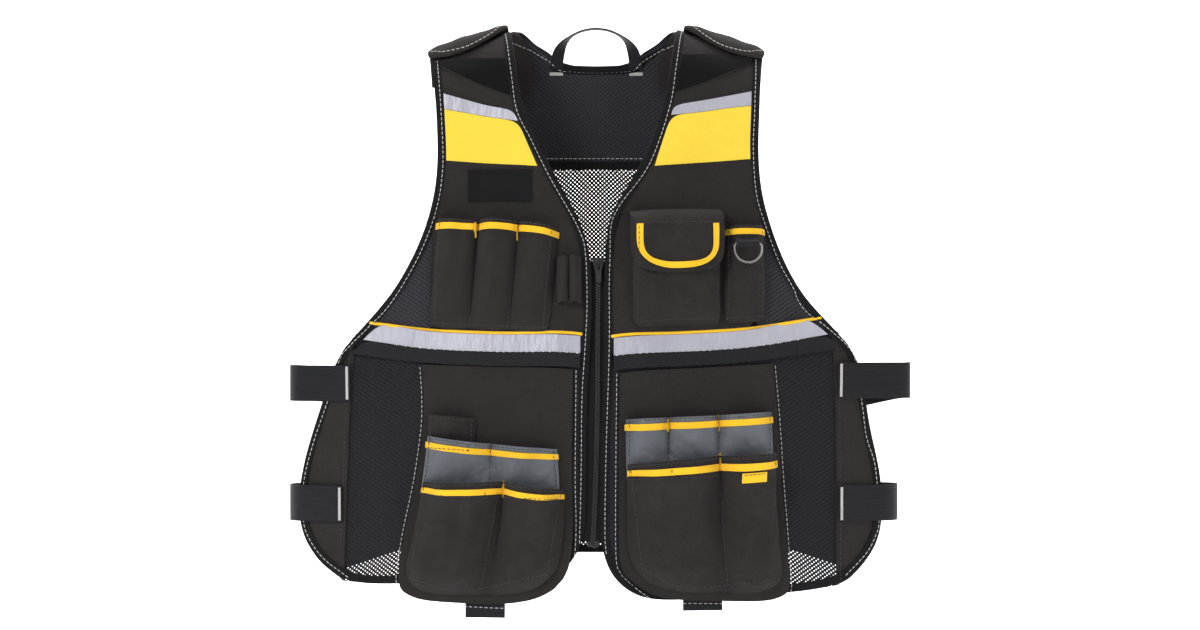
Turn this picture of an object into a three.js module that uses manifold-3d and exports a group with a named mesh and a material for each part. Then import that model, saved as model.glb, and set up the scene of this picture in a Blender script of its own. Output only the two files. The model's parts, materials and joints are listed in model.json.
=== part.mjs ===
// Utility work vest: a sleeveless waistcoat of coated cloth and mesh with tool pockets, in the form it has when worn.
// Lengths are in millimetres. +X is the right of the front view, the front faces -Y and +Z is up.
// The origin is the middle of the neck at the height where the shoulders rest.
import * as THREE from 'three';
import { mergeVertices } from 'three/addons/utils/BufferGeometryUtils.js';
import Module from 'manifold-3d';

const wasm = await Module();
wasm.setup();

// Overall form
const halfWidth = 315; // middle to the edge of a side wing, the length that the tables call 1 across
const fullHeight = 630; // the length that the tables call 1 down, measured from the origin's level
const frontDepth = 78; // middle plane to the front at the belly
const backDepth = 56; // middle plane to the back
const rollRadius = 42; // roll of the cloth over a shoulder
const depthRun = 400; // height over which the roll's depth grows to the full depth
const edgeDepthShare = 0.2; // depth left at the edge of a side wing
const sideRound = 2.2; // how late the front turns back towards the wings
const shoulderCrest = 17; // height that the shoulder line would reach at the middle
const shoulderSlope = 0.36;
const neckRound = 60; // half width over which the shoulder line levels out

// Cloth, tapes and the layers they lie in
const meshCloth = 1.4;
const cloth = 2;
const tape = 1; // bindings, bands, labels and reflective tape
const webbing = 1.6;
const loopPile = 2; // hook-and-loop patch
const layerGap = 0.4;
const rollGap = 0.3; // more room between layers that bend over the shoulder
const flapGap = 2.5;
const seamGap = 1;
const bindingWidth = 8;
const panelBinding = 6;
const flapBandWidth = 6.3;
const waistTapeWidth = 18;
const waistWebbingWidth = 15;
const clothLayer = meshCloth + layerGap;
const trimLayer = clothLayer + cloth + layerGap;
const flapLayer = trimLayer + loopPile + flapGap;
const backLayer = trimLayer + 6 * rollGap;
const backTrimLayer = backLayer + cloth + layerGap;

// Fastenings and hardware
const zipChainWidth = 6;
const zipChainHeight = 4;
const zipTapeWidth = 15;
const zipTapeThickness = 1.2;
const zipStopWidth = 11;
const sliderWidth = 12;
const sliderLength = 13;
const sliderPlate = 1.8;
const bridgeWire = 1.4;
const pullLength = 24;
const pullWidth = 8;
const pullThickness = 1.4;
const runningGap = 0.4;
const ringWidth = 32;
const ringHeight = 23;
const ringWire = 3;
const keeperWidth = 24;
const keeperTab = 3;
const strapWidth = 38;
const tabWidth = 41;
const patchReach = 4; // least way from the shoulder line down to the patch, and least height of the patch
const hangLoopWidth = 14;
const hangLoopSpan = 86;
const hangLoopRise = 44;
const bindingRollRun = 60; // length of edge binding that bends over the shoulder at each end
const tapeEndSlant = 1.4; // how much further in the slanted end of a waist tape lies than a square one

// Pocket depths
const wrenchDepth = 20;
const penDepth = 13;
const pouchDepth = 24;
const flapClearance = 1;
const sidePocketDepth = 17;
const smallPocketDepth = 12;
const middlePocketDepth = 15;
const toolPocketDepth = 18;
const bellowsDepth = 30;
const flapPadding = 6;
const flapEdge = 3;

const colours = {
  cloth: 0x2e2c2d, mesh: 0x1b1b1d, trim: 0x1a1a1c, webbing: 0x1d1d20, yellow: 0xf6cd35, panel: 0xf8e052,
  silver: 0xc2c1cc, satin: 0x62666d, pile: 0x141416, metal: 0xb9bcc0,
};

const group = new THREE.Group();

function rows(columns, ...lines) {
  const names = columns.split(' ');
  return lines.map((line) => Object.fromEntries(line.map((value, i) => [names[i], value])));
}

// Outlines of the two fronts: across is a share of halfWidth from the middle, down a share of fullHeight
const outline = {
  left: {
    side: -1,
    neckline: rows('across down', [0.287, -0.010], [0.287, 0.003], [0.265, 0.075], [0.247, 0.130], [0.200, 0.178],
      [0.153, 0.227], [0.115, 0.262], [0.043, 0.328], [0.019, 0.370], [0.013, 0.457], [0.020, 0.533], [0.030, 0.617],
      [0.033, 0.750], [0.038, 0.850], [0.060, 0.877]),
    hem: rows('across down', [0.060, 0.877], [0.080, 0.893], [0.137, 0.913], [0.320, 0.930], [0.520, 0.928],
      [0.653, 0.920], [0.760, 0.927], [0.843, 0.921]),
    armhole: rows('across down', [0.553, 0.028], [0.550, 0.058], [0.537, 0.117], [0.527, 0.200], [0.530, 0.250],
      [0.547, 0.300], [0.587, 0.358], [0.637, 0.408], [0.703, 0.458], [0.770, 0.492], [0.837, 0.525], [0.870, 0.547],
      [0.913, 0.620], [0.960, 0.688], [0.995, 0.757], [0.997, 0.823], [0.975, 0.858], [0.923, 0.892], [0.843, 0.921]),
    waist: rows('across down', [0.020, 0.539], [0.287, 0.537], [0.553, 0.532], [0.815, 0.517]),
    seam: rows('across down', [0.806, 0.521], [0.820, 0.600], [0.843, 0.921]),
    meshTop: 0.300,
    meshSeam: rows('across down', [0.543, 0.290], [0.557, 0.530]),
  },
  right: {
    side: 1,
    neckline: rows('across down', [0.277, -0.017], [0.273, -0.003], [0.250, 0.060], [0.227, 0.127], [0.160, 0.221],
      [0.062, 0.290], [0.033, 0.328], [0.030, 0.375], [0.027, 0.433], [0.027, 0.533], [0.017, 0.700], [0.013, 0.833],
      [0.017, 0.868]),
    hem: rows('across down', [0.017, 0.868], [0.030, 0.895], [0.060, 0.920], [0.110, 0.940], [0.167, 0.948],
      [0.350, 0.947], [0.547, 0.940], [0.685, 0.937], [0.803, 0.928]),
    armhole: rows('across down', [0.553, 0.022], [0.550, 0.050], [0.547, 0.133], [0.542, 0.200], [0.551, 0.270],
      [0.575, 0.317], [0.621, 0.382], [0.668, 0.425], [0.707, 0.460], [0.787, 0.494], [0.849, 0.522], [0.883, 0.552],
      [0.907, 0.633], [0.920, 0.682], [0.950, 0.732], [0.963, 0.823], [0.950, 0.852], [0.917, 0.882], [0.849, 0.917],
      [0.803, 0.928]),
    waist: rows('across down', [0.027, 0.543], [0.250, 0.537], [0.500, 0.530], [0.800, 0.508]),
    seam: rows('across down', [0.790, 0.512], [0.800, 0.600], [0.803, 0.928]),
    meshTop: 0.300,
    meshSeam: rows('across down', [0.558, 0.290], [0.563, 0.523]),
  },
};

// The strap's tongue behind the shoulder: over is a share of the roll's quarter turn past the shoulder line
const tongueInner = rows('across over', [0.280, 0], [0.245, 0.45], [0.207, 1.0], [0.210, 1.2], [0.245, 1.4]);
const tongueOuter = rows('across over', [0.550, 0], [0.540, 0.45], [0.520, 1.0], [0.480, 1.25], [0.400, 1.4]);

// Back panel: across is signed here and runs from one shoulder to the other
const backNeck = rows('across down', [-0.545, 0.060], [-0.400, 0.020], [-0.285, 0.004], [-0.250, 0.004],
  [-0.210, 0.017], [-0.160, 0.030], [-0.117, 0.045], [0, 0.048], [0.117, 0.045], [0.160, 0.030], [0.210, 0.017],
  [0.250, 0.004], [0.285, 0.004], [0.400, 0.020], [0.545, 0.060]);
const backArmhole = rows('across down', [0.545, 0.060], [0.535, 0.140], [0.530, 0.217], [0.540, 0.290], [0.610, 0.390],
  [0.700, 0.470], [0.775, 0.560], [0.790, 0.650], [0.785, 0.800], [0.740, 0.860]);
const backHem = rows('across down', [-0.740, 0.860], [-0.690, 0.882], [-0.400, 0.885], [0, 0.886], [0.400, 0.885],
  [0.690, 0.882], [0.740, 0.860]);
const yokeDown = 0.217;

// The torso that the vest hangs on
const quarterRoll = rollRadius * Math.PI / 2;
const shoulderLine = (x) => shoulderCrest - shoulderSlope * (Math.hypot(x, neckRound) - neckRound);
const lerp = THREE.MathUtils.lerp;
const smooth = (t) => THREE.MathUtils.smoothstep(t, 0, 1);

// A place is x and path, the way along the cloth from the shoulder line: + down the front, - down the back
function torso(x, path) {
  const length = Math.abs(path);
  const front = path >= 0;
  let drop = rollRadius * (1 - Math.cos(length / rollRadius));
  let depth = rollRadius * Math.sin(length / rollRadius);
  if (length > quarterRoll) {
    drop = rollRadius + length - quarterRoll;
    depth = lerp(rollRadius, front ? frontDepth : backDepth, smooth((drop - rollRadius) / depthRun));
  }
  const lateral = 1 - (1 - edgeDepthShare) * Math.pow(Math.abs(x) / halfWidth, sideRound);
  return new THREE.Vector3(x, (front ? -1 : 1) * depth * lateral, shoulderLine(x) - drop);
}

function outward(x, path) {
  const step = 0.5;
  const across = torso(x + step, path).sub(torso(x - step, path));
  const down = torso(x, path + step).sub(torso(x, path - step));
  return down.cross(across).normalize();
}

function pathTo(x, z) {
  const drop = Math.max(shoulderLine(x) - z, 0);
  if (drop < rollRadius) return rollRadius * Math.acos(1 - drop / rollRadius);
  return quarterRoll + drop - rollRadius;
}

// Turns table rows into places; face is 1 on the front and -1 on the back
function places(side, face, table) {
  return table.map(({ across, down, over }) => {
    const x = side * across * halfWidth;
    if (over !== undefined) return new THREE.Vector2(x, -over * quarterRoll);
    return new THREE.Vector2(x, face * pathTo(x, -down * fullHeight));
  });
}

const route = (side, face, table) => new THREE.SplineCurve(places(side, face, table));

// The part of a table between two values of one column, with its ends worked out
function between(table, column, from, to) {
  const at = (value) => {
    const sorted = [...table].sort((a, b) => a[column] - b[column]);
    const i = Math.min(Math.max(sorted.findIndex((row) => row[column] >= value), 1), sorted.length - 1);
    const [a, b] = [sorted[i - 1], sorted[i]];
    const t = THREE.MathUtils.clamp((value - a[column]) / (b[column] - a[column]), 0, 1);
    return Object.fromEntries(Object.keys(a).map((key) => [key, lerp(a[key], b[key], t)]));
  };
  const [low, high] = [Math.min(from, to), Math.max(from, to)];
  const margin = (high - low) * 0.02;
  const inside = table.filter((row) => row[column] > low + margin && row[column] < high - margin)
    .sort((a, b) => a[column] - b[column]);
  const part = [at(low), ...inside, at(high)];
  return from <= to ? part : part.reverse();
}

// Fills the area between four routes; opposite routes run the same way
function fill(top, bottom, left, right, lift = () => 0) {
  const [topLeft, topRight] = [top.getPoint(0), top.getPoint(1)];
  const [bottomLeft, bottomRight] = [bottom.getPoint(0), bottom.getPoint(1)];
  return (u, v) => {
    const place = top.getPointAt(u).multiplyScalar(1 - v).addScaledVector(bottom.getPointAt(u), v)
      .addScaledVector(left.getPointAt(v), 1 - u).addScaledVector(right.getPointAt(v), u);
    place.addScaledVector(topLeft, -(1 - u) * (1 - v)).addScaledVector(topRight, -u * (1 - v));
    place.addScaledVector(bottomLeft, -(1 - u) * v).addScaledVector(bottomRight, -u * v);
    return { x: place.x, path: place.y, lift: lift(u, v, place) };
  };
}

const onTorso = (surface) => (u, v) => {
  const { x, path, lift } = surface(u, v);
  return torso(x, path).addScaledVector(outward(x, path), lift);
};

// Closed solid of a sheet: every grid point is moved along the sheet's own normal to its two faces
function sheet(surface, us, vs, inner, outer) {
  const point = onTorso(surface);
  const step = 0.012;
  const clamp = (t) => THREE.MathUtils.clamp(t, 0, 1);
  const faces = [[], []];
  for (const v of vs) {
    for (const u of us) {
      const centre = point(u, v);
      const across = point(clamp(u + step), v).sub(point(clamp(u - step), v));
      const down = point(u, clamp(v + step)).sub(point(u, clamp(v - step)));
      const normal = down.cross(across).normalize();
      const { x, path } = surface(u, v);
      if (normal.dot(outward(x, path)) < 0) normal.negate();
      const [low, high] = [inner, outer].map((offset) => (typeof offset === 'function' ? offset(u, v) : offset));
      faces[0].push(centre.clone().addScaledVector(normal, low));
      faces[1].push(centre.clone().addScaledVector(normal, high));
    }
  }
  return gridSolid(faces[0], faces[1], us.length, vs.length);
}

// Joins two grids of points of the same size into one closed body
function gridSolid(back, front, columns, rowCount) {
  const points = [...back, ...front];
  const half = back.length;
  const index = [];
  const quad = (a, b, c, d) => index.push(a, b, c, a, c, d);
  const at = (i, j) => j * columns + i;
  for (let j = 0; j < rowCount - 1; j += 1) {
    for (let i = 0; i < columns - 1; i += 1) {
      quad(half + at(i, j), half + at(i, j + 1), half + at(i + 1, j + 1), half + at(i + 1, j));
      quad(at(i, j), at(i + 1, j), at(i + 1, j + 1), at(i, j + 1));
    }
  }
  for (let i = 0; i < columns - 1; i += 1) {
    quad(at(i, 0), half + at(i, 0), half + at(i + 1, 0), at(i + 1, 0));
    const j = rowCount - 1;
    quad(at(i + 1, j), half + at(i + 1, j), half + at(i, j), at(i, j));
  }
  for (let j = 0; j < rowCount - 1; j += 1) {
    quad(at(0, j + 1), half + at(0, j + 1), half + at(0, j), at(0, j));
    const i = columns - 1;
    quad(at(i, j), half + at(i, j), half + at(i, j + 1), at(i, j + 1));
  }
  return facingOut(points, index);
}

function facingOut(points, index) {
  let volume = 0;
  for (let k = 0; k < index.length; k += 3) {
    const [a, b, c] = [points[index[k]], points[index[k + 1]], points[index[k + 2]]];
    volume += a.dot(new THREE.Vector3().crossVectors(b, c));
  }
  const geometry = new THREE.BufferGeometry().setFromPoints(points);
  geometry.setIndex(volume < 0 ? [...index].reverse() : index);
  return geometry;
}

const steps = (count, from = 0, to = 1) => Array.from({ length: count + 1 }, (_, i) => lerp(from, to, i / count));

function add(name, geometry, colour, roughness = 0.85, metalness = 0, parent = group) {
  const material = new THREE.MeshStandardMaterial({ color: colour, roughness, metalness });
  const mesh = new THREE.Mesh(geometry, material);
  mesh.name = name;
  parent.add(mesh);
  return mesh;
}

// A ribbon of one width that follows a route of places, laid to one side of it
function ribbon(curve, width, turn, lift) {
  return (u, v) => {
    const ahead = curve.getTangentAt(v);
    const spot = curve.getPointAt(v).add(new THREE.Vector2(-ahead.y, ahead.x).multiplyScalar(turn * width * u));
    return { x: spot.x, path: spot.y, lift: lift(spot.x, spot.y) };
  };
}

// x of an outline at a path length
function crossing(spots) {
  return (path) => {
    const sorted = [...spots].sort((a, b) => a.y - b.y);
    const i = Math.min(Math.max(sorted.findIndex((spot) => spot.y >= path), 1), sorted.length - 1);
    const [a, b] = [sorted[i - 1], sorted[i]];
    return lerp(a.x, b.x, THREE.MathUtils.clamp((path - a.y) / (b.y - a.y), 0, 1));
  };
}

// Rows of the shoulder are shared by all layers, so that they lie parallel over the roll
const rollStep = quarterRoll / 9;
const tongueRows = 13;
const frontRollRows = 9;
const straightRows = 8;

function frontPanel({ side, neckline, armhole, waist, meshSeam, meshTop }) {
  const cutArmhole = armhole.filter((row) => row.down < meshTop - 0.02);
  const inner = crossing([...places(side, 1, tongueInner).slice(1), ...places(side, 1, neckline).slice(1)]);
  const outer = crossing([...places(side, 1, tongueOuter), ...places(side, 1, cutArmhole).slice(1),
    ...places(side, 1, meshSeam)]);
  const waistLine = route(side, 1, between(waist, 'across', 0.02, meshSeam[1].across));
  const waistEnds = [waistLine.getPoint(0).y, waistLine.getPoint(1).y];
  const total = tongueRows + frontRollRows + straightRows;
  const pathAt = (row, end) => (row <= tongueRows + frontRollRows
    ? (row - tongueRows) * rollStep
    : lerp(quarterRoll, end, (row - tongueRows - frontRollRows) / straightRows));
  return (u, v) => {
    const row = v * total;
    const [pathIn, pathOut] = [pathAt(row, waistEnds[0]), pathAt(row, waistEnds[1])];
    return { x: lerp(inner(pathIn), outer(pathOut), u), path: lerp(pathIn, pathOut, u), lift: 0 };
  };
}

// Pocket fronts: each pocket of a row bulges from its own seams, and its mouth stays open
function bulge(pockets, u, v) {
  const pocket = pockets.find(({ to }) => u <= to + 1e-6) ?? pockets.at(-1);
  const t = THREE.MathUtils.clamp((u - pocket.from) / (pocket.to - pocket.from), 0, 1);
  const acrossShape = pocket.wall ? smooth(Math.min(t, 1 - t) / pocket.wall)
    : Math.pow(Math.max(1 - Math.pow(Math.abs(2 * t - 1), pocket.square), 0), pocket.round);
  const downShape = Math.pow(Math.max(1 - Math.pow(v, pocket.belly), 0), 0.7);
  return lerp(pocket.mouth, pocket.floor, v) * acrossShape * downShape;
}

function pocketRow({ side, top, bottom, left, right, pockets, depth, base, cover = 0, under = () => 0 }) {
  const lift = (u, v, place) => base + under(place) + cover * (1 - smooth(v / 0.35)) + depth * bulge(pockets, u, v);
  return fill(route(side, 1, top), route(side, 1, bottom), route(side, 1, left), route(side, 1, right), lift);
}

function pocketStations(pockets, shares) {
  const stations = pockets.flatMap(({ from, to }) => shares.map((share) => lerp(from, to, share)));
  return [...new Set(stations.map((value) => Number(value.toFixed(6))))];
}

const roundShares = [0, 0.14, 0.38, 0.62, 0.86, 1];
const squareShares = [0, 0.11, 0.28, 0.5, 0.72, 0.89, 1];
const downShares = [0, 0.04, 0.1, 0.4, 0.75, 0.93, 1];

function addPocketRow(name, row, shares, colour, down = downShares) {
  const surface = pocketRow(row);
  const stations = pocketStations(row.pockets, shares);
  add(name, sheet(surface, stations, down, 0, cloth), colour);
  if (row.band) {
    const low = cloth + layerGap;
    add(`${name}_band`, sheet(surface, stations, [down[1], down[2]], low, low + tape), colours.yellow);
  }
}

// Two fronts
for (const [name, front] of Object.entries(outline)) {
  const { side, neckline, hem, armhole, waist, seam, meshTop, meshSeam } = front;
  const waistStart = waist[0].down;
  const shift = (table, amount) => table.map((row) => ({ ...row, down: row.down + amount / fullHeight }));

  const panelRows = steps(tongueRows + frontRollRows + straightRows);
  add(`front_panel_${name}`, sheet(frontPanel(front), steps(5), panelRows, clothLayer, clothLayer + cloth),
    colours.cloth);

  const armEdge = between(armhole, 'down', meshTop, waist.at(-1).down);
  const seamEdge = between(meshSeam, 'down', meshTop, meshSeam[1].down);
  const lapped = seamEdge.map((row) => ({ ...row, across: row.across - bindingWidth / halfWidth }));
  const armMesh = fill(route(side, 1, [armEdge[0], lapped[0]]),
    route(side, 1, shift([armEdge.at(-1), lapped.at(-1)], -seamGap)),
    route(side, 1, [armEdge[0], ...armEdge.slice(1, -1), shift([armEdge.at(-1)], -seamGap)[0]]),
    route(side, 1, [lapped[0], shift([lapped.at(-1)], -seamGap)[0]]));
  add(`armhole_mesh_${name}`, sheet(armMesh, steps(3), steps(6), 0, meshCloth), colours.mesh);

  const lowerTop = shift(between(waist, 'across', waist[0].across, seam[0].across), seamGap);
  const frontEdge = [lowerTop[0], ...neckline.filter((row) => row.down > waistStart + 0.04)];
  const lapSeam = seam.map((row) => ({ ...row, across: row.across + bindingWidth / halfWidth * 0.4 }));
  const meshHem = [...hem.slice(0, -1), lapSeam.at(-1)];
  const lowerMesh = fill(route(side, 1, [...lowerTop.slice(0, -1), lapSeam[0]]), route(side, 1, meshHem),
    route(side, 1, frontEdge), route(side, 1, lapSeam));
  add(`lower_mesh_${name}`, sheet(lowerMesh, steps(7), steps(7), 0, meshCloth), colours.mesh);

  const wingTop = seam[0];
  const wingEdge = between(armhole.slice(0, -1), 'down', wingTop.down + 0.004, armhole.at(-2).down);
  const wing = fill(route(side, 1, [wingTop, wingEdge[0]]),
    route(side, 1, [seam.at(-1), wingEdge.at(-1)]), route(side, 1, seam), route(side, 1, wingEdge));
  add(`side_wing_${name}`, sheet(wing, steps(3), steps(9), clothLayer, clothLayer + cloth), colours.cloth);

  addTrim(name, front, shift);
  addShoulder(name, front);
}

// Bindings and the belt line of one front
function addTrim(name, { side, neckline, hem, armhole, waist, seam }, shift) {
  const outlineTable = [...neckline.slice(1), ...hem.slice(1), ...armhole.slice(1, -1).reverse()];
  const curve = route(side, 1, outlineTable);
  curve.arcLengthDivisions = 1500;
  const waistLevel = -waist[0].down * fullHeight - 5;
  const seamAcross = seam[0].across * halfWidth;
  const lift = (x, path) => {
    const below = smooth((waistLevel - torso(x, path).z) / 30);
    const inside = smooth((seamAcross - 9 - Math.abs(x)) / 20);
    return lerp(trimLayer, clothLayer, below * inside);
  };
  const length = curve.getLength();
  const rollShare = bindingRollRun / length;
  const stations = [...steps(6, 0, rollShare), ...steps(36, rollShare, 1 - rollShare).slice(1),
    ...steps(6, 1 - rollShare, 1).slice(1)];
  const surface = ribbon(curve, bindingWidth, -side, lift);
  add(`edge_binding_${name}`, sheet(surface, [0, 1], stations, 0, tape), colours.trim);

  const inset = (bindingWidth + 2 * seamGap) / halfWidth;
  const line = (amount) => {
    const shifted = shift(waist, amount);
    const end = shifted.at(-1);
    const outer = between(armhole, 'down', end.down, end.down + 0.01)[0].across;
    return [{ ...shifted[0], across: shifted[0].across + inset }, ...shifted.slice(1, -1),
      { ...end, across: outer - tapeEndSlant * inset }];
  };
  const strip = (from, to) => {
    const [high, low] = [line(from), line(to)];
    return fill(route(side, 1, high), route(side, 1, low), route(side, 1, [high[0], low[0]]),
      route(side, 1, [high.at(-1), low.at(-1)]));
  };
  add(`waist_reflective_${name}`, sheet(strip(-waistTapeWidth, 0), steps(10), [0, 1], trimLayer, trimLayer + tape),
    colours.silver, 0.5);
  add(`waist_webbing_${name}`, sheet(strip(layerGap, waistWebbingWidth), steps(10), [0, 1], trimLayer, trimLayer + webbing),
    colours.webbing);
}

// Shoulder flap, its hook-and-loop patch and the two bands of the chest
function addShoulder(name, { side, neckline, armhole }) {
  const inEdge = crossing(places(side, 1, neckline));
  const outEdge = crossing(places(side, 1, armhole));
  const inset = bindingWidth + seamGap;
  const chestTable = {
    left: rows('u patchTop patchLow silverTop silverLow yellowLow', [0, 0.048, 0.108, 0.132, 0.151, 0.227],
      [0.35, 0.048, 0.093, 0.125, 0.144, 0.224], [0.7, 0.050, 0.076, 0.113, 0.136, 0.220],
      [1, 0.058, 0.062, 0.103, 0.130, 0.217]),
    right: rows('u patchTop patchLow silverTop silverLow yellowLow', [0, 0.042, 0.103, 0.124, 0.141, 0.227],
      [0.35, 0.042, 0.086, 0.116, 0.136, 0.222], [0.7, 0.044, 0.070, 0.107, 0.128, 0.218],
      [1, 0.048, 0.056, 0.100, 0.124, 0.214]),
  }[name];
  const level = (column, u) => {
    const i = Math.min(Math.max(chestTable.findIndex((row) => row.u >= u), 1), chestTable.length - 1);
    const [a, b] = [chestTable[i - 1], chestTable[i]];
    return -fullHeight * lerp(a[column], b[column], (u - a.u) / (b.u - a.u));
  };
  const chest = (topColumn, lowColumn, gap = layerGap / 2) => (u, v) => {
    const guess = side * lerp(0.25, 0.53, u) * halfWidth;
    const [top, low] = [level(topColumn, u) - gap, level(lowColumn, u) + gap];
    const leastPath = patchReach * (v + 1) * (topColumn === 'patchTop' ? 1 : 2);
    const path = Math.max(pathTo(guess, lerp(top, low, v)), leastPath);
    const slant = (edge) => Math.hypot(1, (edge(path + 6) - edge(path - 6)) / 12);
    const x = lerp(inEdge(path) + side * inset * slant(inEdge), outEdge(path) - side * inset * slant(outEdge), u);
    return { x, path: Math.max(pathTo(x, lerp(top, low, v)), leastPath), lift: trimLayer + rollGap };
  };
  add(`loop_patch_${name}`, sheet(chest('patchTop', 'patchLow'), steps(4), steps(6), 0, loopPile), colours.pile, 1);
  add(`chest_reflective_${name}`, sheet(chest('silverTop', 'silverLow'), steps(5), [0, 1], 0, tape),
    colours.silver, 0.5);
  add(`chest_panel_${name}`, sheet(chest('silverLow', 'yellowLow'), steps(5), steps(3), 0, tape), colours.panel);

  // The flap's front edge is a table: turn is the angle in quarter turns that it reaches past the shoulder line
  const flapInner = { back: 0.262, front: 0.290 };
  const flapOuter = 0.558;
  const flapFront = rows('u turn', [0, 0.12], [0.2, 0.34], [0.5, 0.50], [0.8, 0.46], [1, 0.30]);
  const reach = (u) => {
    const i = Math.min(Math.max(flapFront.findIndex((row) => row.u >= u), 1), flapFront.length - 1);
    const [a, b] = [flapFront[i - 1], flapFront[i]];
    return quarterRoll * lerp(a.turn, b.turn, (u - a.u) / (b.u - a.u));
  };
  const backRows = 7;
  const frontRows = 5;
  const flapSurface = (u, v) => {
    const row = v * (backRows + frontRows);
    const path = row <= backRows ? (row - backRows) * rollStep : reach(u) * (row - backRows) / frontRows;
    const inside = side * lerp(flapInner.back, flapInner.front, smooth((row + 3) / backRows)) * halfWidth;
    return { x: lerp(inside, side * flapOuter * halfWidth, u), path, lift: flapLayer };
  };
  const puff = (u, v) => {
    const edge = Math.min(u, 1 - u, v, 1 - v) / 0.12;
    return lerp(flapEdge, flapPadding, smooth(Math.min(edge, 1)));
  };
  add(`shoulder_flap_${name}`, sheet(flapSurface, [0, 0.1, 0.35, 0.65, 0.9, 1], steps(backRows + frontRows), 0, puff),
    colours.cloth);
}

// Back
const backSide = (sign) => backArmhole.map((row) => ({ ...row, across: sign * row.across }));
const yokeLine = (sign, down = yokeDown) => between(backSide(sign), 'down', backArmhole[0].down, down);
const yoke = fill(route(1, -1, backNeck),
  route(1, -1, [yokeLine(-1).at(-1), { across: 0, down: yokeDown }, yokeLine(1).at(-1)]),
  route(1, -1, yokeLine(-1)), route(1, -1, yokeLine(1)));
const yokeShares = [0, 0.05, 0.1, 0.15, 0.21, 0.28, 0.38, 0.6, 1];
add('back_yoke', sheet(yoke, steps(16), yokeShares, backLayer, backLayer + cloth), colours.cloth);

const meshStart = yokeDown + seamGap / fullHeight;
const lowSide = (sign) => between(backSide(sign), 'down', meshStart, backArmhole.at(-1).down);
const backMesh = fill(route(1, -1, [lowSide(-1)[0], { across: 0, down: meshStart }, lowSide(1)[0]]),
  route(1, -1, backHem), route(1, -1, lowSide(-1)), route(1, -1, lowSide(1)));
add('back_mesh', sheet(backMesh, steps(10), steps(8), backLayer, backLayer + meshCloth), colours.mesh);

const backLoop = [...backSide(-1).slice(1), ...backHem.slice(1, -1), ...backSide(1).slice(1).reverse()];
const backCurve = route(1, -1, backLoop);
const backStations = steps(38);
add('back_binding', sheet(ribbon(backCurve, bindingWidth, 1, () => backTrimLayer), [0, 1],
  backStations, 0, tape), colours.trim);

// Hang loop: webbing that leaves the neck edge flat and turns edge-on at its top
function hangLoop() {
  const section = (t) => {
    const angle = Math.PI * (1 - t);
    const centre = new THREE.Vector3(Math.cos(angle) * hangLoopSpan / 2, 0, Math.pow(Math.sin(angle), 0.8) * hangLoopRise);
    return centre;
  };
  const foot = torso(hangLoopSpan / 2, -pathTo(hangLoopSpan / 2, -0.052 * fullHeight));
  const inner = foot.y + backLayer - seamGap - layerGap - rollGap - webbing / 2;
  const base = foot.z;
  const faces = [[], []];
  const stations = steps(16);
  for (const t of stations) {
    const along = section(Math.min(t + 0.01, 1)).sub(section(Math.max(t - 0.01, 0))).normalize();
    const flat = new THREE.Vector3(along.z, 0, -along.x);
    const twist = smooth(Math.min(t, 1 - t) / 0.3) * Math.PI / 2;
    const width = flat.multiplyScalar(Math.cos(twist)).add(new THREE.Vector3(0, Math.sin(twist), 0));
    const normal = new THREE.Vector3().crossVectors(along, width).normalize();
    const centre = section(t).add(new THREE.Vector3(0, inner, base));
    for (const end of [-0.5, 0.5]) {
      const edge = centre.clone().addScaledVector(width, end * hangLoopWidth);
      faces[0].push(edge.clone().addScaledVector(normal, -webbing / 2));
      faces[1].push(edge.clone().addScaledVector(normal, webbing / 2));
    }
  }
  return gridSolid(faces[0], faces[1], 2, stations.length);
}
add('hang_loop', hangLoop(), colours.webbing);

// Zip: the two tapes lie behind the front edges, and the chain joins them on the middle line
const zipLine = rows('across down', [0.008, 0.385], [0.006, 0.533], [0.002, 0.700], [-0.010, 0.850]);
const stopLine = rows('across down', [-0.010, 0.852], [-0.011, 0.868]);
const beside = (table, amount) => route(1, 1, table.map((row) => ({ ...row, across: row.across + amount / halfWidth })));
const zipStrip = (table, from, to) => {
  const [left, right] = [beside(table, from), beside(table, to)];
  return (u, v) => {
    const place = left.getPointAt(v).lerp(right.getPointAt(v), u);
    return { x: place.x, path: place.y, lift: 0 };
  };
};
const tapeBack = -layerGap - zipTapeThickness;
for (const [name, side] of [['left', -1], ['right', 1]]) {
  const strip = zipStrip(zipLine, side * (zipChainWidth / 2 + layerGap), side * (zipChainWidth / 2 + zipTapeWidth));
  add(`zip_tape_${name}`, sheet(strip, [0, 1], steps(12), tapeBack, -layerGap), colours.trim);
}
const chainMiddle = (tapeBack - layerGap) / 2;
const chainHalf = zipChainHeight / 2;
function zipChain() {
  const fullLine = [...zipLine, stopLine[1]];
  const left = beside(fullLine, -1);
  const surface = (u, v) => {
    const place = left.getPointAt(v);
    const wide = v > 0.965 ? zipStopWidth : zipChainWidth;
    return { x: place.x + 1 + (u - 0.5) * wide, path: place.y, lift: 0 };
  };
  const stations = [...steps(12, 0, 0.96), 0.97, 1];
  return sheet(surface, [0, 1], stations, chainMiddle - chainHalf, chainMiddle + chainHalf);
}
add('zip_chain', zipChain(), colours.trim, 0.5);

// Small hard pieces stand in frames laid on the cloth: x across, y inward, z up along the cloth
function frameAt(x, path, lift) {
  const inward = outward(x, path).negate();
  const across = new THREE.Vector3().crossVectors(inward, new THREE.Vector3(0, 0, 1)).normalize();
  const up = new THREE.Vector3().crossVectors(across, inward).normalize();
  const frame = new THREE.Group();
  frame.matrix.makeBasis(across, inward, up).setPosition(torso(x, path).addScaledVector(inward, -lift));
  frame.matrix.decompose(frame.position, frame.quaternion, frame.scale);
  group.add(frame);
  return frame;
}

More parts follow.
